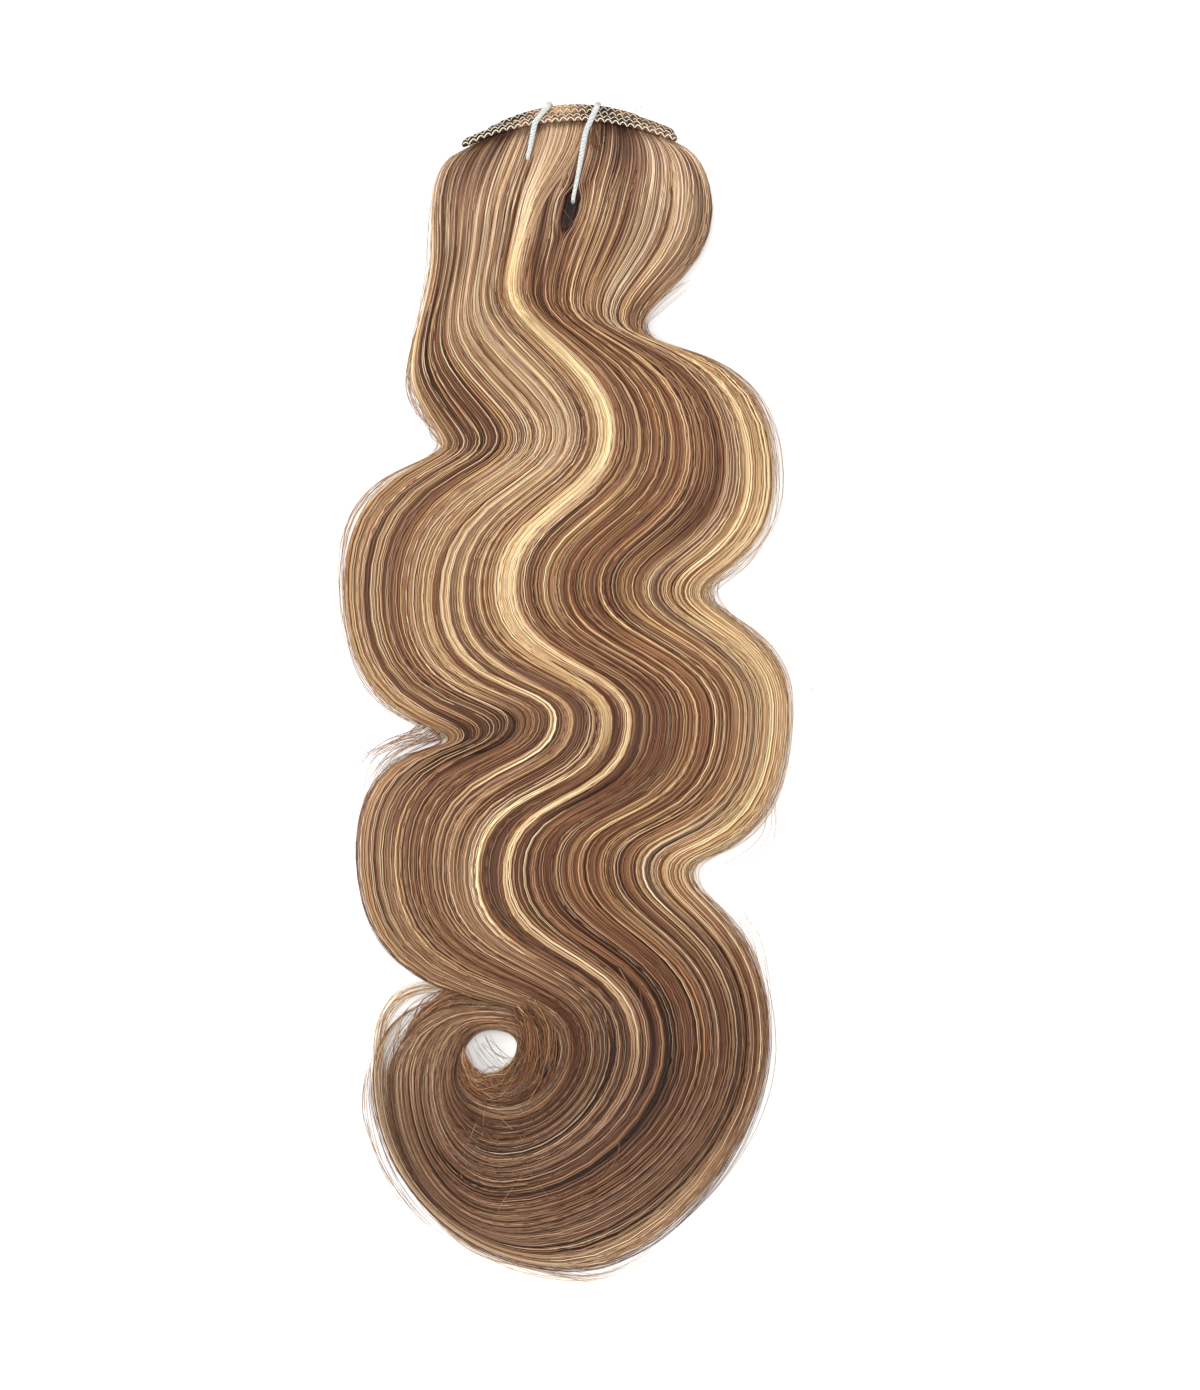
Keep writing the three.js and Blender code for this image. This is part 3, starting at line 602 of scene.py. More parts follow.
def lay_strands(name, master, paths, radius, tone, warmth=.4, flat=0.8, start_point=.02, end_point=.10,
                first_mark=0.0):
    """One mesh of many strands. paths: (strands, steps + 1, 3) in mm; radius, tone and warmth per strand or
    point; start_point and end_point: shares of the length over which a strand is pointed."""
    count, points = paths.shape[:2]
    ahead = np.gradient(paths, axis=1)
    ahead /= np.maximum(np.linalg.norm(ahead, axis=2, keepdims=True), 1e-9)
    side = np.stack([-ahead[:, :, 1], ahead[:, :, 0], np.zeros((count, points))], axis=2)
    side /= np.maximum(np.linalg.norm(side, axis=2, keepdims=True), 1e-9)
    up = np.cross(ahead, side)
    t = np.linspace(0, 1, points)
    taper = np.minimum(1, np.minimum(np.sqrt(t / start_point), np.sqrt((1 - t) / end_point)))
    step = np.round(master["co"][:, 2] * master["steps"]).astype(int)
    cos, sin = -master["co"][:, 1], master["co"][:, 0]
    r = (each_point(radius, count, points) * taper)[:, step, None]
    co = paths[:, step] + r * (cos[None, :, None] * side[:, step] + flat * sin[None, :, None] * up[:, step])
    length = np.linalg.norm(np.diff(paths, axis=1), axis=2).cumsum(axis=1)
    length = np.concatenate([np.zeros((count, 1)), length], axis=1)
    number = (first_mark + np.arange(count))[:, None] * 1.37
    flow = np.stack([number * 3.1 + 0.3 * cos[None], length[:, step], number + 0 * step], axis=2)
    strand = np.arange(count)[:, None]
    corners, starts = master["corners"], master["starts"]
    mesh = bpy.data.meshes.new(name)
    mesh.vertices.add(count * len(step))
    mesh.loops.add(count * len(corners))
    mesh.polygons.add(count * len(starts))
    mesh.loops.foreach_set("vertex_index", (corners[None] + len(step) * strand).ravel())
    mesh.polygons.foreach_set("loop_start", (starts[None] + len(corners) * strand).ravel())
    mesh.polygons.foreach_set("use_smooth", np.ones(count * len(starts), dtype=bool))
    set_points(mesh, co * MM)
    mesh.update(calc_edges=True)
    across_, along_ = [np.broadcast_to(column, (count, len(corners))) for column in master["uv"].T]
    uv = np.stack([along_, (strand + 0.06 + 0.88 * across_) / count], axis=2)
    mesh.uv_layers.new(name="OFBake").uv.foreach_set("vector", uv.ravel())
    set_marks(mesh, flow, *[each_point(values, count, points)[:, step] for values in (tone, warmth)])
    mesh.validate()
    piece = bpy.data.objects.new(name, mesh)
    bpy.context.scene.collection.objects.link(piece)
    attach(piece, "root")
    print(name, "strands:", count, "triangles:", sum(len(p.vertices) - 2 for p in mesh.polygons))
    return piece


STRAND = master_strand(STRAND_STEPS)
print("one strand has", len(STRAND["co"]), "points and", len(STRAND["starts"]), "faces")

# %% [markdown]
# Laying the strands
# Combed hair gathers in small tresses: strands that start apart draw together, wander and part again. Each
# strand belongs to the nearest tress and follows it by an amount that changes along the wave. It also steps
# aside at a parting, and it ends where its own hair ends, so the outer ones never reach the small inner turn.

# %% strands over the front curtain
def pushed(u, at):
    """Strands step aside where the hair is parted."""
    for share, wide, weight, _, _ in partings(at):
        off = u - share
        reach = wide * 1.1 * weight
        u = u + np.where(off < 0, -1, 1) * reach * np.exp(-(off / (2.4 * wide)) ** 2)
    return u


TRESSES = 150
tress_widths = np.random.default_rng(5).uniform(.25, 1.75, TRESSES)
tress_ends = -.006 + 1.012 * np.concatenate([[0], tress_widths.cumsum() / tress_widths.sum()])
tress_shifts = np.random.default_rng(6).uniform(-.5, .5, TRESSES)
STRAY_SHARE, STRAY_REACH, CALM_REACH = .16, .014, .0034      # how many strands stray, and how far, as shares
STRAY_LIFT = .32         # mm by which the straying strands lie over the others


def own_way(rng, at):
    """A number of its own for each strand, where its wandering starts."""
    return rng.uniform(0, 60, len(at))[:, None] + 0 * at


def front_strands(first, last, count, seed):
    rng = np.random.default_rng(seed)
    u0 = first + (last - first) * (np.arange(count) + rng.uniform(0, 1, count)) / count
    tress = np.clip(np.searchsorted(tress_ends, u0) - 1, 0, TRESSES - 1)
    home, half = (tress_ends[tress] + tress_ends[tress + 1]) / 2, np.diff(tress_ends)[tress] / 2
    tip = np.interp(u0, [0, .3, .5, .7, .85, 1], [12, 11.9, 11.2, 10.3, 9.7, 9.3])
    at = rows_of_strands(np.minimum(tip + rng.uniform(-1.5, .15, count), LAST), tress_shifts[tress])
    home_, tress_ = home[:, None] + 0 * at, tress[:, None] + 0 * at
    gather = 0.72 + 0.62 * drift(21, tress_ * 3.7, at * 0.7)
    own = own_way(rng, at)
    wander = np.where(rng.uniform(0, 1, count) < STRAY_SHARE, STRAY_REACH, CALM_REACH)[:, None]
    wander = wander * smooth(.2, 1.2, at)
    u = home_ + (u0[:, None] - home_) * gather + 0.0075 * drift(22, home_ * 50, at * 0.6)
    u = u + wander * drift(23, own, at * 0.8)
    at[:, 0] = -.03                                           # the strands start under the band
    u = ring_share(pushed(np.clip(u, -.008, 1.008), at), at)
    x, y = plan(FRONT, u, at)
    free = 0.25 + 0.75 * smooth(.3, 1.5, at)
    rim = np.clip(np.abs(u0 - home) / half, 0, 1)[:, None] ** 2    # 0 in the middle of a tress, 1 at its side
    lift = 0.22 * drift(24, tress_ * 5.1, at * 0.7) - .28 * rim + rng.uniform(-.10, .30, count)[:, None]
    lift = free * (lift + .24 * drift(27, own + 31, at * 1.7))
    lift = lift + np.where(wander > .01, STRAY_LIFT, 0) * free
    inside = np.minimum(u, 1 - u) + .46 * smooth(9.8, 10.7, at)
    side_drop = 4.5 * (1 - smooth(-.022, .030, inside)) ** 1.5
    z = np.maximum(top_height(u, at) + lift - side_drop * smooth(.4, 1.2, at), .6)
    own_tone = rng.normal(0, .18, count)[:, None] + 0.13 * drift(25, own, at)
    # painted shade: strands at the sides of a tress are made darker, for the shade in the creases between tresses
    crease = .10 * rim * (1 + drift(26, tress_ * 7.3, at * 1.5)) * smooth(-.6, 2.2, at)
    next_x, next_y = plan(FRONT, np.minimum(u + .01, 1.01), at)
    spread = np.clip(np.hypot(next_x - x, next_y - y), .3, 1.1)    # mm between strands a hundredth apart
    radius = (.10 + .13 * rng.uniform(0, 1, count) ** 1.6)[:, None] * spread ** .6
    warmth = warmth_at(u, at) - .4 * own_tone + rng.normal(0, .24, count)[:, None]
    return np.stack([x, y, z], axis=2), radius, tone_at(u, at) + own_tone - crease, warmth


FRONT_PARTS = {"left": (-.004, .27), "middle_left": (.27, .50), "middle_right": (.50, .73), "right": (.73, 1.004)}
strands = []
for i, (part, (first, last)) in enumerate(FRONT_PARTS.items()):
    laid = front_strands(first, last, 275, 100 + i)
    strands.append(lay_strands("front_strands_" + part, STRAND, *laid, first_mark=400.0 * i))

# %% [markdown]
# Strands of the lower wefts
# From the side the pile shows four curtains, one over another. A few strands along both edges of each lower
# curtain break up its smooth rim. They use the same master strand, only lower down.

# %% strands along the edges of the lower curtains
def edge_strands(name, each_side, seed):
    rng = np.random.default_rng(seed)
    layer = LAYERS[name]
    near = np.concatenate([rng.uniform(-.004, .020, each_side), 1 - rng.uniform(-.004, .020, each_side)])
    count = len(near)
    tip = np.where(near < .5, rng.uniform(10.8, 12, count), rng.uniform(8.6, 9.8, count))
    at = rows_of_strands(tip, rng.uniform(-.5, .5, count))
    own = own_way(rng, at)
    u = ring_share(near[:, None] + 0.005 * drift(32, own, at * .8), at)
    x, y = plan(WEFTS[name], u, at)
    low, high = level(layer, u, at), level(layer + 1, u, at) - pile_at(at)[2]
    share = np.clip(rng.uniform(.15, .85, count)[:, None] + .2 * drift(33, own, at), .1, .9)
    # painted light: these strands are made lighter, more so towards the tail, so the shaded sides of the lower
    # curtains read pale
    tone = tone_at(u, at) + .10 + .14 * smooth(7, 8.5, at) + rng.normal(0, .12, count)[:, None]
    radius = rng.uniform(.14, .28, count)[:, None] + 0 * at
    return np.stack([x, y, low + (high - low) * share], axis=2), radius, tone, warmth_at(u, at)


parts = [edge_strands(name, 11, 140 + i) for i, name in enumerate(("back", "third", "second"))]
laid = [np.concatenate(part) for part in zip(*parts)]
strands.append(lay_strands("lower_edge_strands", STRAND, *laid, first_mark=1300))

# %% [markdown]
# Strands that leave their tress
# Two places need strands of their own. Below the front band a pale lock was combed sideways, from the right
# tie to the main streak. In the ring of the curl the hairs cross one another, because their ends sprang back
# when the curl was laid down. Both are described in shares across and wave rows, like all the others.

# %% the pale sweep and the ring of the curl
def over_the_pile(count, seed, steps, rows, shares, sway, radius, lift, shade=0.0, least=0.0):
    """Strands on the top of the pile. rows and shares: functions that draw them; least: the lowest tone."""
    rng = np.random.default_rng(seed)
    first, last = rows(rng, count)
    t = np.linspace(0, 1, steps + 1)[None]
    at = first[:, None] + (last - first)[:, None] * t
    own = own_way(rng, at)
    u = shares(rng, count, at) + sway * drift(51, own, at * .8) * smooth(.2, 1.2, at)
    u = ring_share(np.clip(u, 0, 1), at)
    x, y = plan(FRONT, u, at)
    bow = .3 + .7 * np.sin(np.pi * t)
    z = top_height(u, at) + (lift[0] + (lift[1] - lift[0]) * rng.uniform(0, 1, count))[:, None] * bow
    own_tone = np.maximum(tone_at(u, at), least) + shade + rng.normal(0, .12, count)[:, None]
    return np.stack([x, y, z], axis=2), rng.uniform(*radius, count), own_tone, warmth_at(u, at)


def sweep_rows(rng, count):
    return np.full(count, -.02), rng.uniform(1.5, 2.6, count)


def sweep_shares(rng, count, at):
    start = rng.uniform(.46, .625, count)[:, None]
    end = .452 + (start - .46) * .38
    return end + (start - end) * (1 - smooth(-.1, 1.6, at))


def ring_rows(rng, count):
    return rng.uniform(7.4, 9.6, count), rng.uniform(10.6, 12, count)


def ring_shares(rng, count, at):
    return rng.uniform(.02, .80, count)[:, None] * (1 - .25 * smooth(9, 11, at))


RING_STEPS, HAIR_STEPS = 46, 24
RING, LOOSE = master_strand(RING_STEPS), master_strand(HAIR_STEPS)
sweep = over_the_pile(130, 61, HAIR_STEPS, sweep_rows, sweep_shares, .004, (.10, .20), (.15, .7), least=.64)
strands.append(lay_strands("pale_sweep_strands", LOOSE, *sweep, first_mark=1700, end_point=.35))
ring = over_the_pile(170, 62, RING_STEPS, ring_rows, ring_shares, .085, (.09, .17), (.3, 1.2), shade=-.06)
strands.append(lay_strands("curl_ring_strands", RING, *ring, first_mark=1900, start_point=.15, end_point=.30))

# %% [markdown]
# Fly-away hairs
# Along both sides of the waves thin hairs stand off the pile, in the same waves but a little out of step.
# They soften the outline, which would look cut with scissors without them.

# %% fly-away hairs along the sides
def fly_away_paths(count, seed):
    rng = np.random.default_rng(seed)
    left = rng.uniform(0, 1, count) < .48
    first = np.maximum(rng.uniform(.5, 8.9, count), np.where(left, .5, 1.9))
    last = np.minimum(first + rng.uniform(.5, 1.5, count), 11.6)
    t = np.linspace(0, 1, HAIR_STEPS + 1)[None]
    at = first[:, None] + (last - first)[:, None] * t
    off = np.abs(rng.normal(0, .013, count)) - .007
    bow = rng.uniform(-.008, .030, count)[:, None] * np.sin(np.pi * t) ** 1.5
    own = own_way(rng, at)
    away = off[:, None] + bow + .010 * drift(53, own, at * 1.1)
    u = np.where(left[:, None], -away, 1 + away)
    x, y = plan(FRONT, u, at)
    inside = np.clip(u, .01, .99)
    sink = 120 * np.clip(away, 0, 1)                          # mm, the farther out the nearer the ground
    z = np.maximum(top_height(inside, at) * rng.uniform(.25, .95, count)[:, None] - sink, .4)
    tone = tone_at(inside, at) - .04 + rng.normal(0, .14, count)[:, None]
    return np.stack([x, y, z], axis=2), rng.uniform(.08, .15, count), tone, warmth_at(inside, at) + .25


strands.append(lay_strands("fly_away_hairs", LOOSE, *fly_away_paths(400, 63), first_mark=2100, flat=1,
                           start_point=.25, end_point=.5))

# %% [markdown]
# Loose hairs
# What makes hair look real is what doesn't lie flat: wisps across the hollows, long single hairs that loop
# away, and thin ends round the curl. Each group is named and has an inner and an outer line, read off the
# photograph, and its hairs lie between the two. They sink from the pile to the ground where they leave it.

# %% loose hairs
WISPS = [  # name, hairs, inner and outer line in picture points, scatter and heights in mm, tone, radius in mm
    ("left hollow", 34, [(432, 702), (452, 722), (448, 738), (412, 752), (384, 772), (372, 806)],
     [(394, 686), (420, 708), (412, 724), (376, 738), (352, 762), (340, 800)], 2.8,
     (9, 3, 1.5, 4, 6), .50, .11),
    ("first hollow", 9, [(424, 400), (438, 428), (446, 446), (430, 462)],
     [(416, 396), (428, 424), (436, 440), (418, 456)], 1.2, (8, 5, 6), .55, .09),
    ("right loops", 4, [(752, 640), (786, 662), (806, 706), (810, 772)],
     [(742, 618), (800, 644), (822, 690), (826, 768)], 3.0, (8, 2, 1), .72, .09),
    ("low right loop", 4, [(768, 790), (760, 836), (724, 862), (690, 874)],
     [(776, 780), (774, 842), (730, 876), (700, 884)], 1.5, (7, 2, 6), .60, .09),
    ("right hollow", 12, [(752, 536), (716, 566), (700, 592), (724, 622), (748, 640)],
     [(762, 536), (734, 566), (722, 594), (748, 624), (772, 644)], 1.5, (8, 3, 2, 3, 7), .74, .09),
    ("first right hollow", 6, [(690, 276), (652, 306), (640, 326), (664, 344)],
     [(700, 282), (668, 308), (654, 328), (680, 346)], 1.0, (8, 4, 4, 8), .66, .09),
    ("loop round the gap", 30, [(388, 1118), (384, 1046), (394, 1014), (416, 996), (448, 993), (484, 1006)],
     [(375, 1100), (373, 1036), (386, 1002), (412, 985), (446, 985), (490, 1000)], 1.1,
     (6, 4, 3, 3, 5, 7), .68, .10),
    ("strands inside the loop", 9, [(412, 1118), (404, 1062), (412, 1030), (430, 1008), (456, 1004),
                                    (480, 1016)],
     [(386, 1100), (382, 1046), (394, 1010), (418, 994), (448, 990), (490, 1004)], 2.4,
     (6, 4, 3, 3, 5, 7), .52, .10),
    ("lock above the ring", 80, [(418, 1090), (416, 1046), (430, 1022), (458, 1006), (500, 1010)],
     [(404, 1072), (409, 1034), (426, 1004), (460, 986), (510, 996)], 2.0, (8, 7, 7, 8, 9), .44, .17),
    ("strays in the gap", 9, [(398, 1060), (420, 1030), (446, 1010), (470, 1004)],
     [(388, 1010), (416, 1004), (440, 992), (462, 986)], 4.0, (4, 2, 3, 6), .50, .08),
    ("under the hole", 100, [(465, 1040), (467, 1060), (478, 1073), (493, 1076), (509, 1068), (519, 1048)],
     [(446, 1040), (450, 1076), (470, 1100), (496, 1106), (524, 1094), (542, 1060)], 1.2,
     (9.5, 9, 8.5, 8.6, 9.4, 10.5), .46, .16),
    ("right of the hole", 85, [(512, 1010), (522, 1034), (518, 1062), (498, 1084)],
     [(530, 990), (552, 1030), (548, 1078), (522, 1112)], 2.0, (11.8, 11.6, 11, 10.3), .44, .16),
    ("left of the curl", 20, [(380, 1040), (378, 1100), (396, 1160), (430, 1206), (470, 1236)],
     [(370, 1050), (364, 1108), (380, 1172), (416, 1222), (460, 1252)], 1.8, (5, 3, 2, 3, 4), .55, .09),
    ("below the curl", 44, [(430, 1194), (478, 1228), (532, 1246), (592, 1256), (650, 1234)],
     [(416, 1208), (470, 1250), (528, 1274), (600, 1282), (668, 1252)], 2.2, (4, 2, 2, 2, 5), .74, .11),
    ("across the hole", 12, [(472, 1040), (484, 1062), (502, 1074), (520, 1070)],
     [(486, 1030), (498, 1048), (512, 1060), (530, 1052)], 2.4, (5, 3, 3, 6), .45, .07),
    ("strays over the tail", 12, [(452, 1100), (468, 1160), (470, 1196), (462, 1236)],
     [(640, 1080), (612, 1150), (590, 1200), (560, 1240)], 7.0, (12, 12.5, 12, 9), .66, .08),
    ("right of the tail", 8, [(730, 906), (748, 940), (758, 990), (762, 1050)],
     [(744, 900), (764, 940), (772, 990), (772, 1050)], 1.2, (8, 4, 4, 6), .70, .08),
    ("fuzz on the bands", 10, [(560, 110), (566, 104), (576, 101)], [(656, 122), (664, 112), (662, 104)], 5.0,
     (13, 14, 14), .60, .07),
    ("brown swirl", 16, [(592, 128), (588, 142), (594, 152), (604, 148)],
     [(598, 132), (604, 142), (600, 150), (592, 146)], 1.0, (15.6, 16.2, 16.4, 16.2), .40, .10),
]


PICTURE_POINT = 0.36     # mm on the ground
PICTURE_MIDDLE, PICTURE_TOP, PICTURE_LONG = 566.5, 104, 1164     # of the hair in picture points


def from_picture(px, py):
    """Millimetres on the ground for a point of the 1200 by 1390 photograph."""
    x, y = (px - PICTURE_MIDDLE) * PICTURE_POINT, (0.5 - (py - PICTURE_TOP) / PICTURE_LONG) * LENGTH
    return np.array([x, y]) + SHIFT


def spline(points, steps):
    """Smooth curve through a few points, as steps + 1 points."""
    p = np.concatenate([[2 * points[0] - points[1]], points, [2 * points[-1] - points[-2]]])
    t = np.linspace(0, len(points) - 1 - 1e-9, steps + 1)
    k = t.astype(int)
    f = (t - k)[:, None]
    a, b, c, d = p[k], p[k + 1], p[k + 2], p[k + 3]
    return hermite(b, (c - a) / 2, c, (d - b) / 2, f)


rng = np.random.default_rng(77)
paths, radius, tone = [], [], []
for name, count, inner, outer, scatter, heights, shade, thick in WISPS:
    inner, outer = [np.array([from_picture(*p) for p in line]) for line in (inner, outer)]
    for i in range(count):
        way = rng.uniform(0, 1) + rng.normal(0, .12, len(inner))[:, None]
        points = inner + (outer - inner) * way + rng.normal(0, scatter / 3, inner.shape)
        tall = np.interp(np.linspace(0, 1, len(inner)), np.linspace(0, 1, len(heights)), heights)
        tall = np.maximum(tall + rng.normal(0, .6, len(inner)), .3)
        line = spline(np.column_stack([points, tall]), HAIR_STEPS)
        first, last = int(rng.integers(0, 4)), HAIR_STEPS - int(rng.integers(0, 6))
        kept = np.linspace(first, last, HAIR_STEPS + 1)
        line = np.stack([np.interp(kept, range(HAIR_STEPS + 1), column) for column in line.T], axis=1)
        paths.append(np.maximum(line, [-999, -999, .12]))     # no hair goes into the ground
        radius.append(thick * rng.uniform(.7, 1.25))
        tone.append(shade + rng.normal(0, .13))
strands.append(lay_strands("loose_hairs", LOOSE, *[np.array(values) for values in (paths, radius, tone)], .65,
                           first_mark=1500, flat=1, start_point=.05, end_point=.5))

# %% [markdown]
# Bands
# A weft is made on a machine with three needles: the hair is laid over threads, sewn, and its short ends are
# folded back and sewn again. What shows is a flat ribbon of hair, ribbed across by the stitches. It could be
# a plain strip with a bump map, but its rim shows against the white ground, so the ribs are real shape. The
# rolled grid gives the soft edges, and the hair in it keeps the colours of the curtain below.

# %% bands
STITCH = 2.7             # mm from one arch of the stitching to the next
BLOND_MIDDLE = (.12, .40, .30, .12)      # how much lighter each band is in its middle, from the floor up


def lay_band(name):
    weft, layer = WEFTS[name], LAYERS[name]
    around, along = 12, 160
    piece = rolled_grid(name + "_band_of_hair", around, along)
    turn, t, on_ring = read_rolled(piece)
    share = np.clip((t - 1 / along) / (1 - 2 / along), 0, 1)
    x, y = on_band(weft, share)
    length, half = band_size(weft)
    end = np.clip(np.minimum(share, 1 - share) * length / half, 0, 1)
    rounded = np.sqrt(1 - (1 - end) ** 2) * on_ring
    ribs = 1 + 0.10 * np.abs(np.sin(np.pi * share * length / STITCH * 2))
    ribs = ribs + 0.04 * drift(41, share * 60, 0 * share)
    side, up = np.cos(2 * np.pi * turn), np.sin(2 * np.pi * turn)
    wide = np.sign(side) * np.abs(side) ** .6 * rounded * half * ribs
    tall = np.sign(up) * np.abs(up) ** .7 * rounded * BAND_THICK / 2 * (ribs - .06)
    z = FIRST_BAND_Z + layer * BAND_PITCH + BAND_THICK / 2 + tall
    set_points(piece.data, np.stack([x + SHIFT[0], y + wide + SHIFT[1], z], axis=1) * MM)
    face_outwards(piece.data)
    u = np.interp(share, ROOT_SHARES, GUIDES)
    # The band's hair varies at random, is darker than the curtain's hair, gets darker towards its two rounded
    # ends and is lighter in its middle.
    band_tone_shift = .10 * drift(42, share * 14 + layer * 9, 0 * share) - .10 * (1 - rounded)
    band_tone_shift = band_tone_shift - .34 + BLOND_MIDDLE[layer] * np.exp(-((share - .45) / .16) ** 2)
    set_marks(piece.data, np.stack([share * length * 1.4, wide * 3, np.full_like(u, 40.0 + layer)], axis=1),
              tone_at(u, 0 * u + .1) + band_tone_shift, .35 + 0 * u)
    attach(piece, "root")
    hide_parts(name + "_weft_band")
    return piece


bands = [lay_band(name) for name in WEFTS]
print("bands:", len(bands), "ribs every", STITCH / 2, "mm")

# %% [markdown]
# Stitching
# The cream thread is what the eye finds first at the top: two rows of small arches along each band, with dark
# hair inside them. Each thread is a strand with three sides, laid along such a row on the band's face. A
# real seam has loops below too, but they are hidden, so only the top face gets threads.

# %% stitching threads
THREAD_STEPS = 300
THREAD = master_strand(THREAD_STEPS)


def thread_path(weft, layer, foot, tall, phase):
    """A row of small arches along a band. foot and tall are shares of the band's half height."""
    share = np.linspace(.006, .994, THREAD_STEPS + 1)
    x, y = on_band(weft, share)
    length, half = band_size(weft)
    arch = np.abs(np.sin(np.pi * (share * length / STITCH + phase))) ** .8
    end = np.sqrt(np.clip(np.minimum(share, 1 - share) * length / half, .05, 1))
    y = y + half * (foot + tall * (arch + .12 * drift(43, share * 31 + phase * 7, 0 * share))) * end
    z = FIRST_BAND_Z + layer * BAND_PITCH + BAND_THICK + .12
    z = z - .7 * np.abs(foot + tall * arch) ** 4 - .5 * (1 - end)
    return np.stack([x + SHIFT[0], y + SHIFT[1], z], axis=1)


lines = []
for name, weft in WEFTS.items():
    lines.append(thread_path(weft, LAYERS[name], -.98, .95, 0))
    lines.append(thread_path(weft, LAYERS[name], .10, .70, .15))
thread = lay_strands("cream_stitching", THREAD, np.array(lines), np.tile([.27, .17], 4),
                     np.full(len(lines), .9), flat=1, start_point=.002, end_point=.002)

# %% [markdown]
# Ties
# Two pale, flat plastic straps go over the bands and down through partings in the hair. A torus is a closed
# ring with a tidy map, so each tie is a torus whose large ring is led along the tie's path and whose small
# ring is pressed to a flat oval.

# %% ties
TIES = {
    "left_tie": dict(over=-.038, bend=(-.071, .017), dive=(-.088, .050), row=.5),
    "right_tie": dict(over=.072, bend=(.044, .025), dive=(.015, .087), row=1),
}


def tie_path(tie):
    """The same closed run as the solid's, in mm: over the bands, along the hair, down and back below."""
    half, turn = TIE_THICK / 2, 2 * TIE_THICK
    over, (bx, by), (dx, dy) = tie["over"] * WIDTH, place(*tie["bend"]), place(*tie["dive"])
    bands_top = FIRST_BAND_Z + 3 * BAND_PITCH + BAND_THICK + GAP + half

    def hair_top(at):
        return float(level(4, .5, at) - pile_at(at)[2] + SLACK + GAP + half)

    behind = max(on_band(weft, share)[1] + band_size(weft)[1] for weft in WEFTS.values()
                 for share in (.4, .5, .6)) + GAP + half
    along = [(bx + (dx - bx) * t, by + (dy - by) * t, max(bands_top, hair_top(tie["row"] * t)))
             for t in (.25, .5, .75)]
    top = hair_top(tie["row"])
    return np.array([(over, behind - turn, bands_top), (bx, by, bands_top), *along, (dx, dy + turn, top),
                     (dx, dy, top - turn), (dx, dy, half + turn), (dx, dy + turn, half), (bx, by, half),
                     (over, behind - turn, half), (over, behind, half + turn),
                     (over, behind, bands_top - turn)])


TIE_RING, TIE_FINE = 1.0, 1200       # radius of the torus it is made from, and points along the finished path


def lay_tie(name):
    tie = TIES[name]
    corners = tie_path(tie)
    bpy.ops.object.select_all(action="DESELECT")
    bpy.ops.mesh.primitive_torus_add(major_segments=130, minor_segments=12, major_radius=TIE_RING,
                                     minor_radius=TIE_RING / 4)
    piece = bpy.context.object
    piece.name = piece.data.name = name.replace("_tie", "_tie_strap")
    bpy.ops.object.shade_smooth()
    piece.data.uv_layers[0].name = "OFBake"
    x, y, z = read(piece.data.vertices, "co", 3).T
    big = np.arctan2(y, x) / (2 * np.pi) % 1
    small = np.arctan2(z, np.hypot(x, y) - TIE_RING)
    loop = np.concatenate([corners, corners[:1]])
    reach = np.concatenate([[0], np.linalg.norm(np.diff(loop, axis=0), axis=1).cumsum()])
    fine = np.linspace(0, reach[-1], TIE_FINE, endpoint=False)
    path = np.stack([np.interp(fine, reach, loop[:, c]) for c in range(3)], axis=1)
    for _ in range(60):                                       # rounds the corners
        path = (np.roll(path, 3, axis=0) + np.roll(path, -3, axis=0) + 2 * path) / 4
    k = np.round(big * TIE_FINE).astype(int) % TIE_FINE
    run = np.roll(path, -4, axis=0) - np.roll(path, 4, axis=0)
    run = (run / np.linalg.norm(run, axis=1, keepdims=True))[k]
    lean = math.atan2(*(place(*tie["dive"]) - place(*tie["bend"]))[::-1]) + math.pi / 2
    side = np.array([math.cos(lean), math.sin(lean), 0])
    out = np.cross(side, run)
    out /= np.linalg.norm(out, axis=1, keepdims=True)
    narrow = 1 - .30 * smooth(.10, .32, big) * (1 - smooth(.6, .8, big))
    spot = path[k] + side * (np.cos(small) * TIE_WIDTH / 2 * narrow)[:, None]
    spot = spot + out * (np.sin(small) * TIE_THICK / 2)[:, None]
    set_points(piece.data, (spot + [SHIFT[0], SHIFT[1], 0]) * MM)
    face_outwards(piece.data)
    set_marks(piece.data, np.stack([np.cos(small) * TIE_WIDTH / 2, big * reach[-1], small], axis=1), 0 * big)
    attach(piece, "root")
    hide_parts(name)
    return piece


ties = [lay_tie(name) for name in TIES]
print("ties:", [t.name for t in ties])

# %% [markdown]
# Snap clips
# Each weft is worn with small steel snap clips under its band: an arched plate with a sprung tongue cut in
# it. The photograph hides them, so they are the common kind. One is modelled as by hand: a circle is drawn
# out to the outline, two insets mark the rim and the slot, the slot's faces go, and Solidify and Bevel give
# the steel its thickness and soft edges. The other seven are copies with their own meshes.

# %% one snap clip, modelled once
CLIP_WIDTH, CLIP_HEIGHT = 20.0, 10.0
TONGUE_Y = -5            # mm from the sewing line down to the middle of the tongue
bpy.ops.object.select_all(action="DESELECT")
bpy.ops.mesh.primitive_circle_add(vertices=48, radius=1, fill_type="NGON")
clip = bpy.context.object
clip.name = clip.data.name = "snap_clip"
x, y, _ = read(clip.data.vertices, "co", 3).T
x = np.sign(x) * np.abs(x) ** .8 * CLIP_WIDTH / 2
y = np.where(y > 0, .18, .82) * np.sign(y) * np.abs(y) ** .9 * CLIP_HEIGHT - 1.9
co = np.stack([x, y, 0 * x], axis=1)
set_points(clip.data, co * MM)
bpy.ops.object.mode_set(mode="EDIT")
bpy.ops.mesh.select_mode(type="FACE")
bpy.ops.mesh.select_all(action="SELECT")
for size in ((.82, .66, 1), (.86, .62, 1)):                   # the rim's inner edge, then the tongue
    bpy.ops.mesh.inset(thickness=0)
    bpy.ops.transform.resize(value=size, center_override=(0, TONGUE_Y * MM, 0))
bpy.ops.object.mode_set(mode="OBJECT")
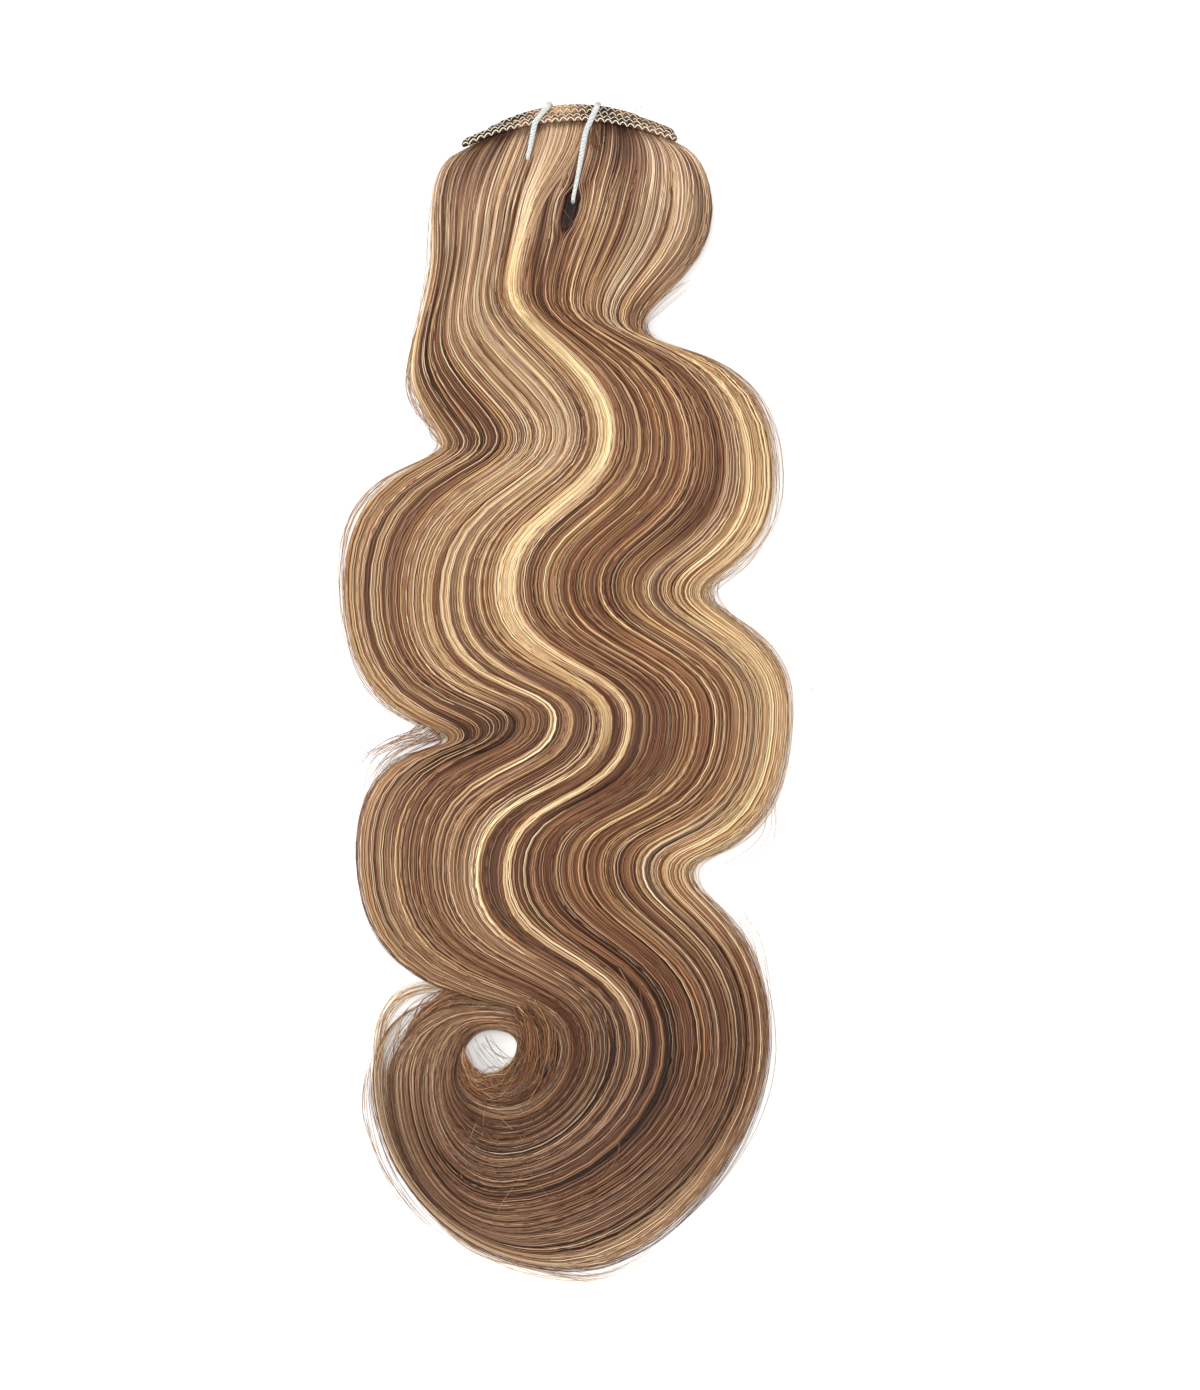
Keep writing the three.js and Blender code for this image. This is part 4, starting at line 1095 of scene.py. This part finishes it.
for face in clip.data.polygons:
    x, y = face.center.x / MM, face.center.y / MM
    in_slot = math.hypot(x / 7.6, (y - TONGUE_Y) / 2.7) < 1.35
    face.select = len(face.vertices) == 4 and in_slot and (y < TONGUE_Y - .2 or abs(x) > 6)
bpy.ops.object.mode_set(mode="EDIT")
bpy.ops.mesh.delete(type="FACE")
bpy.ops.object.mode_set(mode="OBJECT")
steel = clip.modifiers.new("steel", "SOLIDIFY")
steel.thickness, steel.offset = .8 * CLIP_THICK * MM, 0
soft = clip.modifiers.new("soft edges", "BEVEL")
soft.width, soft.segments = .15 * MM, 2
for modifier in ("steel", "soft edges"):
    bpy.ops.object.modifier_apply(modifier=modifier)
bpy.ops.object.shade_smooth_by_angle(angle=math.radians(40))
print("snap clip faces:", len(clip.data.polygons))

# %% eight clips, two under each band
clips = []
for name, weft in WEFTS.items():
    for side, share in zip(("left", "right"), weft["clips"]):
        x, y = on_band(weft, share)
        next_x, next_y = on_band(weft, share + .05)
        piece = clip.copy()
        piece.data = clip.data.copy()
        piece.name = piece.data.name = f"{name}_{side}_snap_clip"
        bpy.context.scene.collection.objects.link(piece)
        spot = (x + SHIFT[0], y + band_size(weft)[1] / 2 + SHIFT[1],
                FIRST_CLIP_Z + LAYERS[name] * BAND_PITCH + CLIP_THICK / 2)
        turned = Matrix.Rotation(math.atan2(next_y - y, next_x - x), 4, "Z")
        piece.data.transform(Matrix.Translation([v * MM for v in spot]) @ turned)
        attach(piece, "root")
        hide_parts(f"{name}_{side}_clip")
        clips.append(piece)
bpy.data.objects.remove(clip)
print("clips:", len(clips))

# %% [markdown]
# Hair as a material
# Hair is keratin, a horn-like fibre with an index of refraction near 1.55, and it was dyed and ironed into
# waves. Its shine is a soft band across the strands. A hair shader would need real hair curves, so this is
# a Principled BSDF. The colour comes from each piece's tone mark, with fibre lines drawn out along the hair,
# and the same lines are the relief that spreads the shine sideways.

# %% helpers for materials
def linear(code):
    """sRGB hex to the linear colour that Blender works with."""
    parts = [int(code[i:i + 2], 16) / 255 for i in (1, 3, 5)]
    return tuple(v / 12.92 if v <= 0.04045 else ((v + 0.055) / 1.055) ** 2.4 for v in parts) + (1.0,)


def plug(tree, node, inputs):
    """Gives sockets their values, or links them to the sockets that the values come from."""
    for name, value in inputs.items():
        if isinstance(value, bpy.types.NodeSocket):
            tree.links.new(value, node.inputs[name])
        else:
            node.inputs[name].default_value = value


def add(tree, kind, inputs, output=0, **settings):
    """Adds one node with settings of its own, and gives back one of its outputs."""
    made = tree.nodes.new(kind)
    for name, value in settings.items():
        setattr(made, name, value)
    plug(tree, made, inputs)
    return made.outputs[output]


def mark(tree, name, output="Fac"):
    return add(tree, "ShaderNodeAttribute", {}, output, attribute_name=name)


def reckon(tree, operation, *numbers, **settings):
    return add(tree, "ShaderNodeMath", dict(enumerate(numbers)), operation=operation, **settings)


def drawn_noise(tree, flow, across_mm, along_mm, place_=(0, 0, 0), **inputs):
    """Noise drawn out along the hair, with specks of about this size."""
    scale = (1 / across_mm, 1 / along_mm, 1)
    at = add(tree, "ShaderNodeMapping", {"Vector": flow, "Location": place_, "Scale": scale})
    return add(tree, "ShaderNodeTexNoise", {"Vector": at, "Scale": 1, **inputs})


def in_range(tree, value, low, high, **inputs):
    return add(tree, "ShaderNodeMapRange", {"Value": value, "To Min": low, "To Max": high, **inputs})


def bump(tree, height, strength, distance):
    return add(tree, "ShaderNodeBump", {"Height": height, "Strength": strength, "Distance": distance})


def new_material(name):
    material = bpy.data.materials.new(name)
    material.use_nodes = True
    tree = material.node_tree
    return material, tree, tree.nodes["Principled BSDF"]


def dress(pieces, material):
    for piece in pieces:
        piece.data.materials.clear()
        piece.data.materials.append(material)


# %% waved, highlighted hair
WARM = [(0, "#1C0F08"), (.2, "#4E2C19"), (.4, "#7B4D33"), (.55, "#9B6B46"), (.7, "#C09868"),
        (.85, "#DDBD89"), (1, "#F4DFB1")]
ASH = [(0, "#1E120B"), (.2, "#4C3425"), (.4, "#785946"), (.55, "#9B7A60"), (.7, "#BE9F80"),
       (.85, "#D9BE9C"), (1, "#EEDCBE")]
MIX_A, MIX_B, MIXED = 6, 7, 2        # the Mix node's colour sockets share their names with its others


def ramp(tree, factor, stops):
    colour = add(tree, "ShaderNodeValToRGB", {"Fac": factor})
    elements = colour.node.color_ramp.elements
    while len(elements) < len(stops):
        elements.new(0.5)
    for element, (position, code) in zip(elements, stops):
        element.position = position
        element.color = linear(code)
    return colour


def hair_material(name, fibre_mm, line_amount, fibre_amount):
    """Hair in its own colours; fibre_mm is the width of one drawn fibre."""
    material, tree, bsdf = new_material(name)
    flow, tone, warmth = mark(tree, "flow", "Vector"), mark(tree, "tone"), mark(tree, "warmth")
    fibre = drawn_noise(tree, flow, fibre_mm, 75, Detail=2, Roughness=.6)
    line = drawn_noise(tree, flow, 2.2, 90, (31, 7, 3), Detail=2, Roughness=.55)
    hue = drawn_noise(tree, flow, 7, 110, (5, 17, 11), Detail=1)
    lined = reckon(tree, "MULTIPLY_ADD", fibre, fibre_amount, tone)
    lined = reckon(tree, "MULTIPLY_ADD", line, line_amount, lined)
    lined = reckon(tree, "SUBTRACT", lined, (fibre_amount + line_amount) / 2)
    patches = in_range(tree, hue, 0, .5, **{"From Min": .38, "From Max": .64})
    ashen = reckon(tree, "ADD", reckon(tree, "MULTIPLY_ADD", warmth, -1.5, patches), .90, use_clamp=True)
    colours = {"Factor": ashen, MIX_A: ramp(tree, lined, WARM), MIX_B: ramp(tree, lined, ASH)}
    relief = reckon(tree, "MULTIPLY_ADD", line, .8, fibre)
    plug(tree, bsdf, {
        "Base Color": add(tree, "ShaderNodeMix", colours, MIXED, data_type="RGBA"),
        "Roughness": in_range(tree, fibre, .36, .56), "Normal": bump(tree, relief, .8, .0005),
        "IOR": 1.55, "Specular IOR Level": .22})
    return material


waved_hair = hair_material("waved dyed human hair", .36, .45, .60)
strand_hair = hair_material("single strands of the same hair", 1.1, .34, .46)
dress(curtains, waved_hair)
dress(strands, strand_hair)
dress(bands, waved_hair)
print("hair materials:", waved_hair.name, "/", strand_hair.name)

# %% [markdown]
# Thread, plastic and steel
# The thread is spun polyester: cream, a little shiny, with a fine twist whose grooves get painted shade. The ties
# are pale soft plastic with a pressed rib. Their glitter is painted into the colour as light and dark specks,
# which are painted glints, and the rib's grooves get painted shade. The clips are spring steel under brown
# lacquer.
# Each pattern runs on the piece's own marks or on Object coordinates, so it stays where it is when the part is
# moved.

# %% spun polyester thread
def wave_relief(tree, bsdf, flow, scale, strength, distance, direction):
    inputs = {"Vector": flow, "Scale": scale, "Distortion": 1.0, "Detail": 1}
    ridges = add(tree, "ShaderNodeTexWave", inputs, "Fac", bands_direction=direction)
    plug(tree, bsdf, {"Normal": bump(tree, ridges, strength, distance)})
    return ridges


cream, tree, bsdf = new_material("spun polyester thread")
twist = wave_relief(tree, bsdf, mark(tree, "flow", "Vector"), 1 / 1.1, .5, .0001, "DIAGONAL")     # 0.35 mm plies
# painted shade and light: the thread's colour is darker in the grooves of its twist and lighter on its ridges
plug(tree, bsdf, {
    "Base Color": ramp(tree, twist, [(0, "#CBB48E"), (.5, "#EDDEBF"), (1, "#FCF5E2")]), "Roughness": .5})
dress([thread], cream)

# %% pale plastic with painted glints
glinting_plastic, tree, bsdf = new_material("pale plastic with painted glints")
flow = mark(tree, "flow", "Vector")
ribs = wave_relief(tree, bsdf, flow, 1 / 1.6, .6, .00015, "Y")                # pressed ribs 0.5 mm apart
glint_specks = add(tree, "ShaderNodeTexNoise", {"Vector": flow, "Scale": 3.2, "Detail": 3, "Roughness": .7})
# painted glints and shade: light and dark specks and darker rib grooves are painted into the colour
painted_glints = reckon(tree, "MULTIPLY_ADD", ribs, .35, glint_specks)
plug(tree, bsdf, {
    "Base Color": ramp(tree, painted_glints, [(.35, "#3E4140"), (.6, "#8E918E"), (.88, "#ECEEE9")]),
    "Metallic": .2, "Roughness": .3})
dress(ties, glinting_plastic)

# %% lacquered spring steel
lacquer, tree, bsdf = new_material("lacquered spring steel")
spot = add(tree, "ShaderNodeTexCoord", {}, "Object")
cloud = add(tree, "ShaderNodeTexNoise", {"Vector": spot, "Scale": 420, "Detail": 4})
plug(tree, bsdf, {
    "Base Color": ramp(tree, cloud, [(.3, "#33241A"), (.6, "#4A3426"), (.8, "#6A503C")]),
    "Roughness": in_range(tree, cloud, .25, .45), "Metallic": .6, "Coat Weight": .3})
dress(clips, lacquer)
print("materials:", [m.name for m in (cream, glinting_plastic, lacquer)])

# %% [markdown]
# Ground and light
# The photograph was taken on white with soft light from all round, a little stronger from the left, so the
# only shadow is a faint one close to the hair. A pale plane is the ground. A white world gives the even
# light, and large area lights at the sides give the hair its shine.

# %% ground and light
bpy.ops.object.select_all(action="DESELECT")
bpy.ops.mesh.primitive_plane_add(size=6, location=(0, 0, 0))
ground = bpy.context.object
ground.name = "white_ground"
paper, tree, bsdf = new_material("matt white paper")
plug(tree, bsdf, {"Base Color": linear("#F7F7F7"), "Roughness": .9})
dress([ground], paper)

LAMPS = [  # name, place in m, size in m, power in W
    ("left softbox", (-1.0, .15, .9), .9, 14), ("right softbox", (1.1, -.1, .9), .9, 9),
    ("top softbox", (0, 1.2, 1.1), .9, 4), ("softbox above the camera", (-.15, .1, 2.4), 1.0, 26)]
for name, spot, size, power in LAMPS:
    bpy.ops.object.light_add(type="AREA", location=spot)
    lamp = bpy.context.object
    lamp.name = name
    lamp.data.size, lamp.data.energy = size, power
    x, y, z = -np.array(spot)                                 # every lamp looks at the origin
    lamp.rotation_euler = (math.atan2(math.hypot(x, y), -z), 0, math.atan2(y, x) - math.pi / 2)
world = bpy.data.worlds.new("white surroundings")
bpy.context.scene.world = world
world.use_nodes = True
plug(world.node_tree, world.node_tree.nodes["Background"], {"Color": (1, 1, 1, 1), "Strength": .68})
bpy.context.scene.view_settings.view_transform = "Standard"
print("lamps:", len(LAMPS))
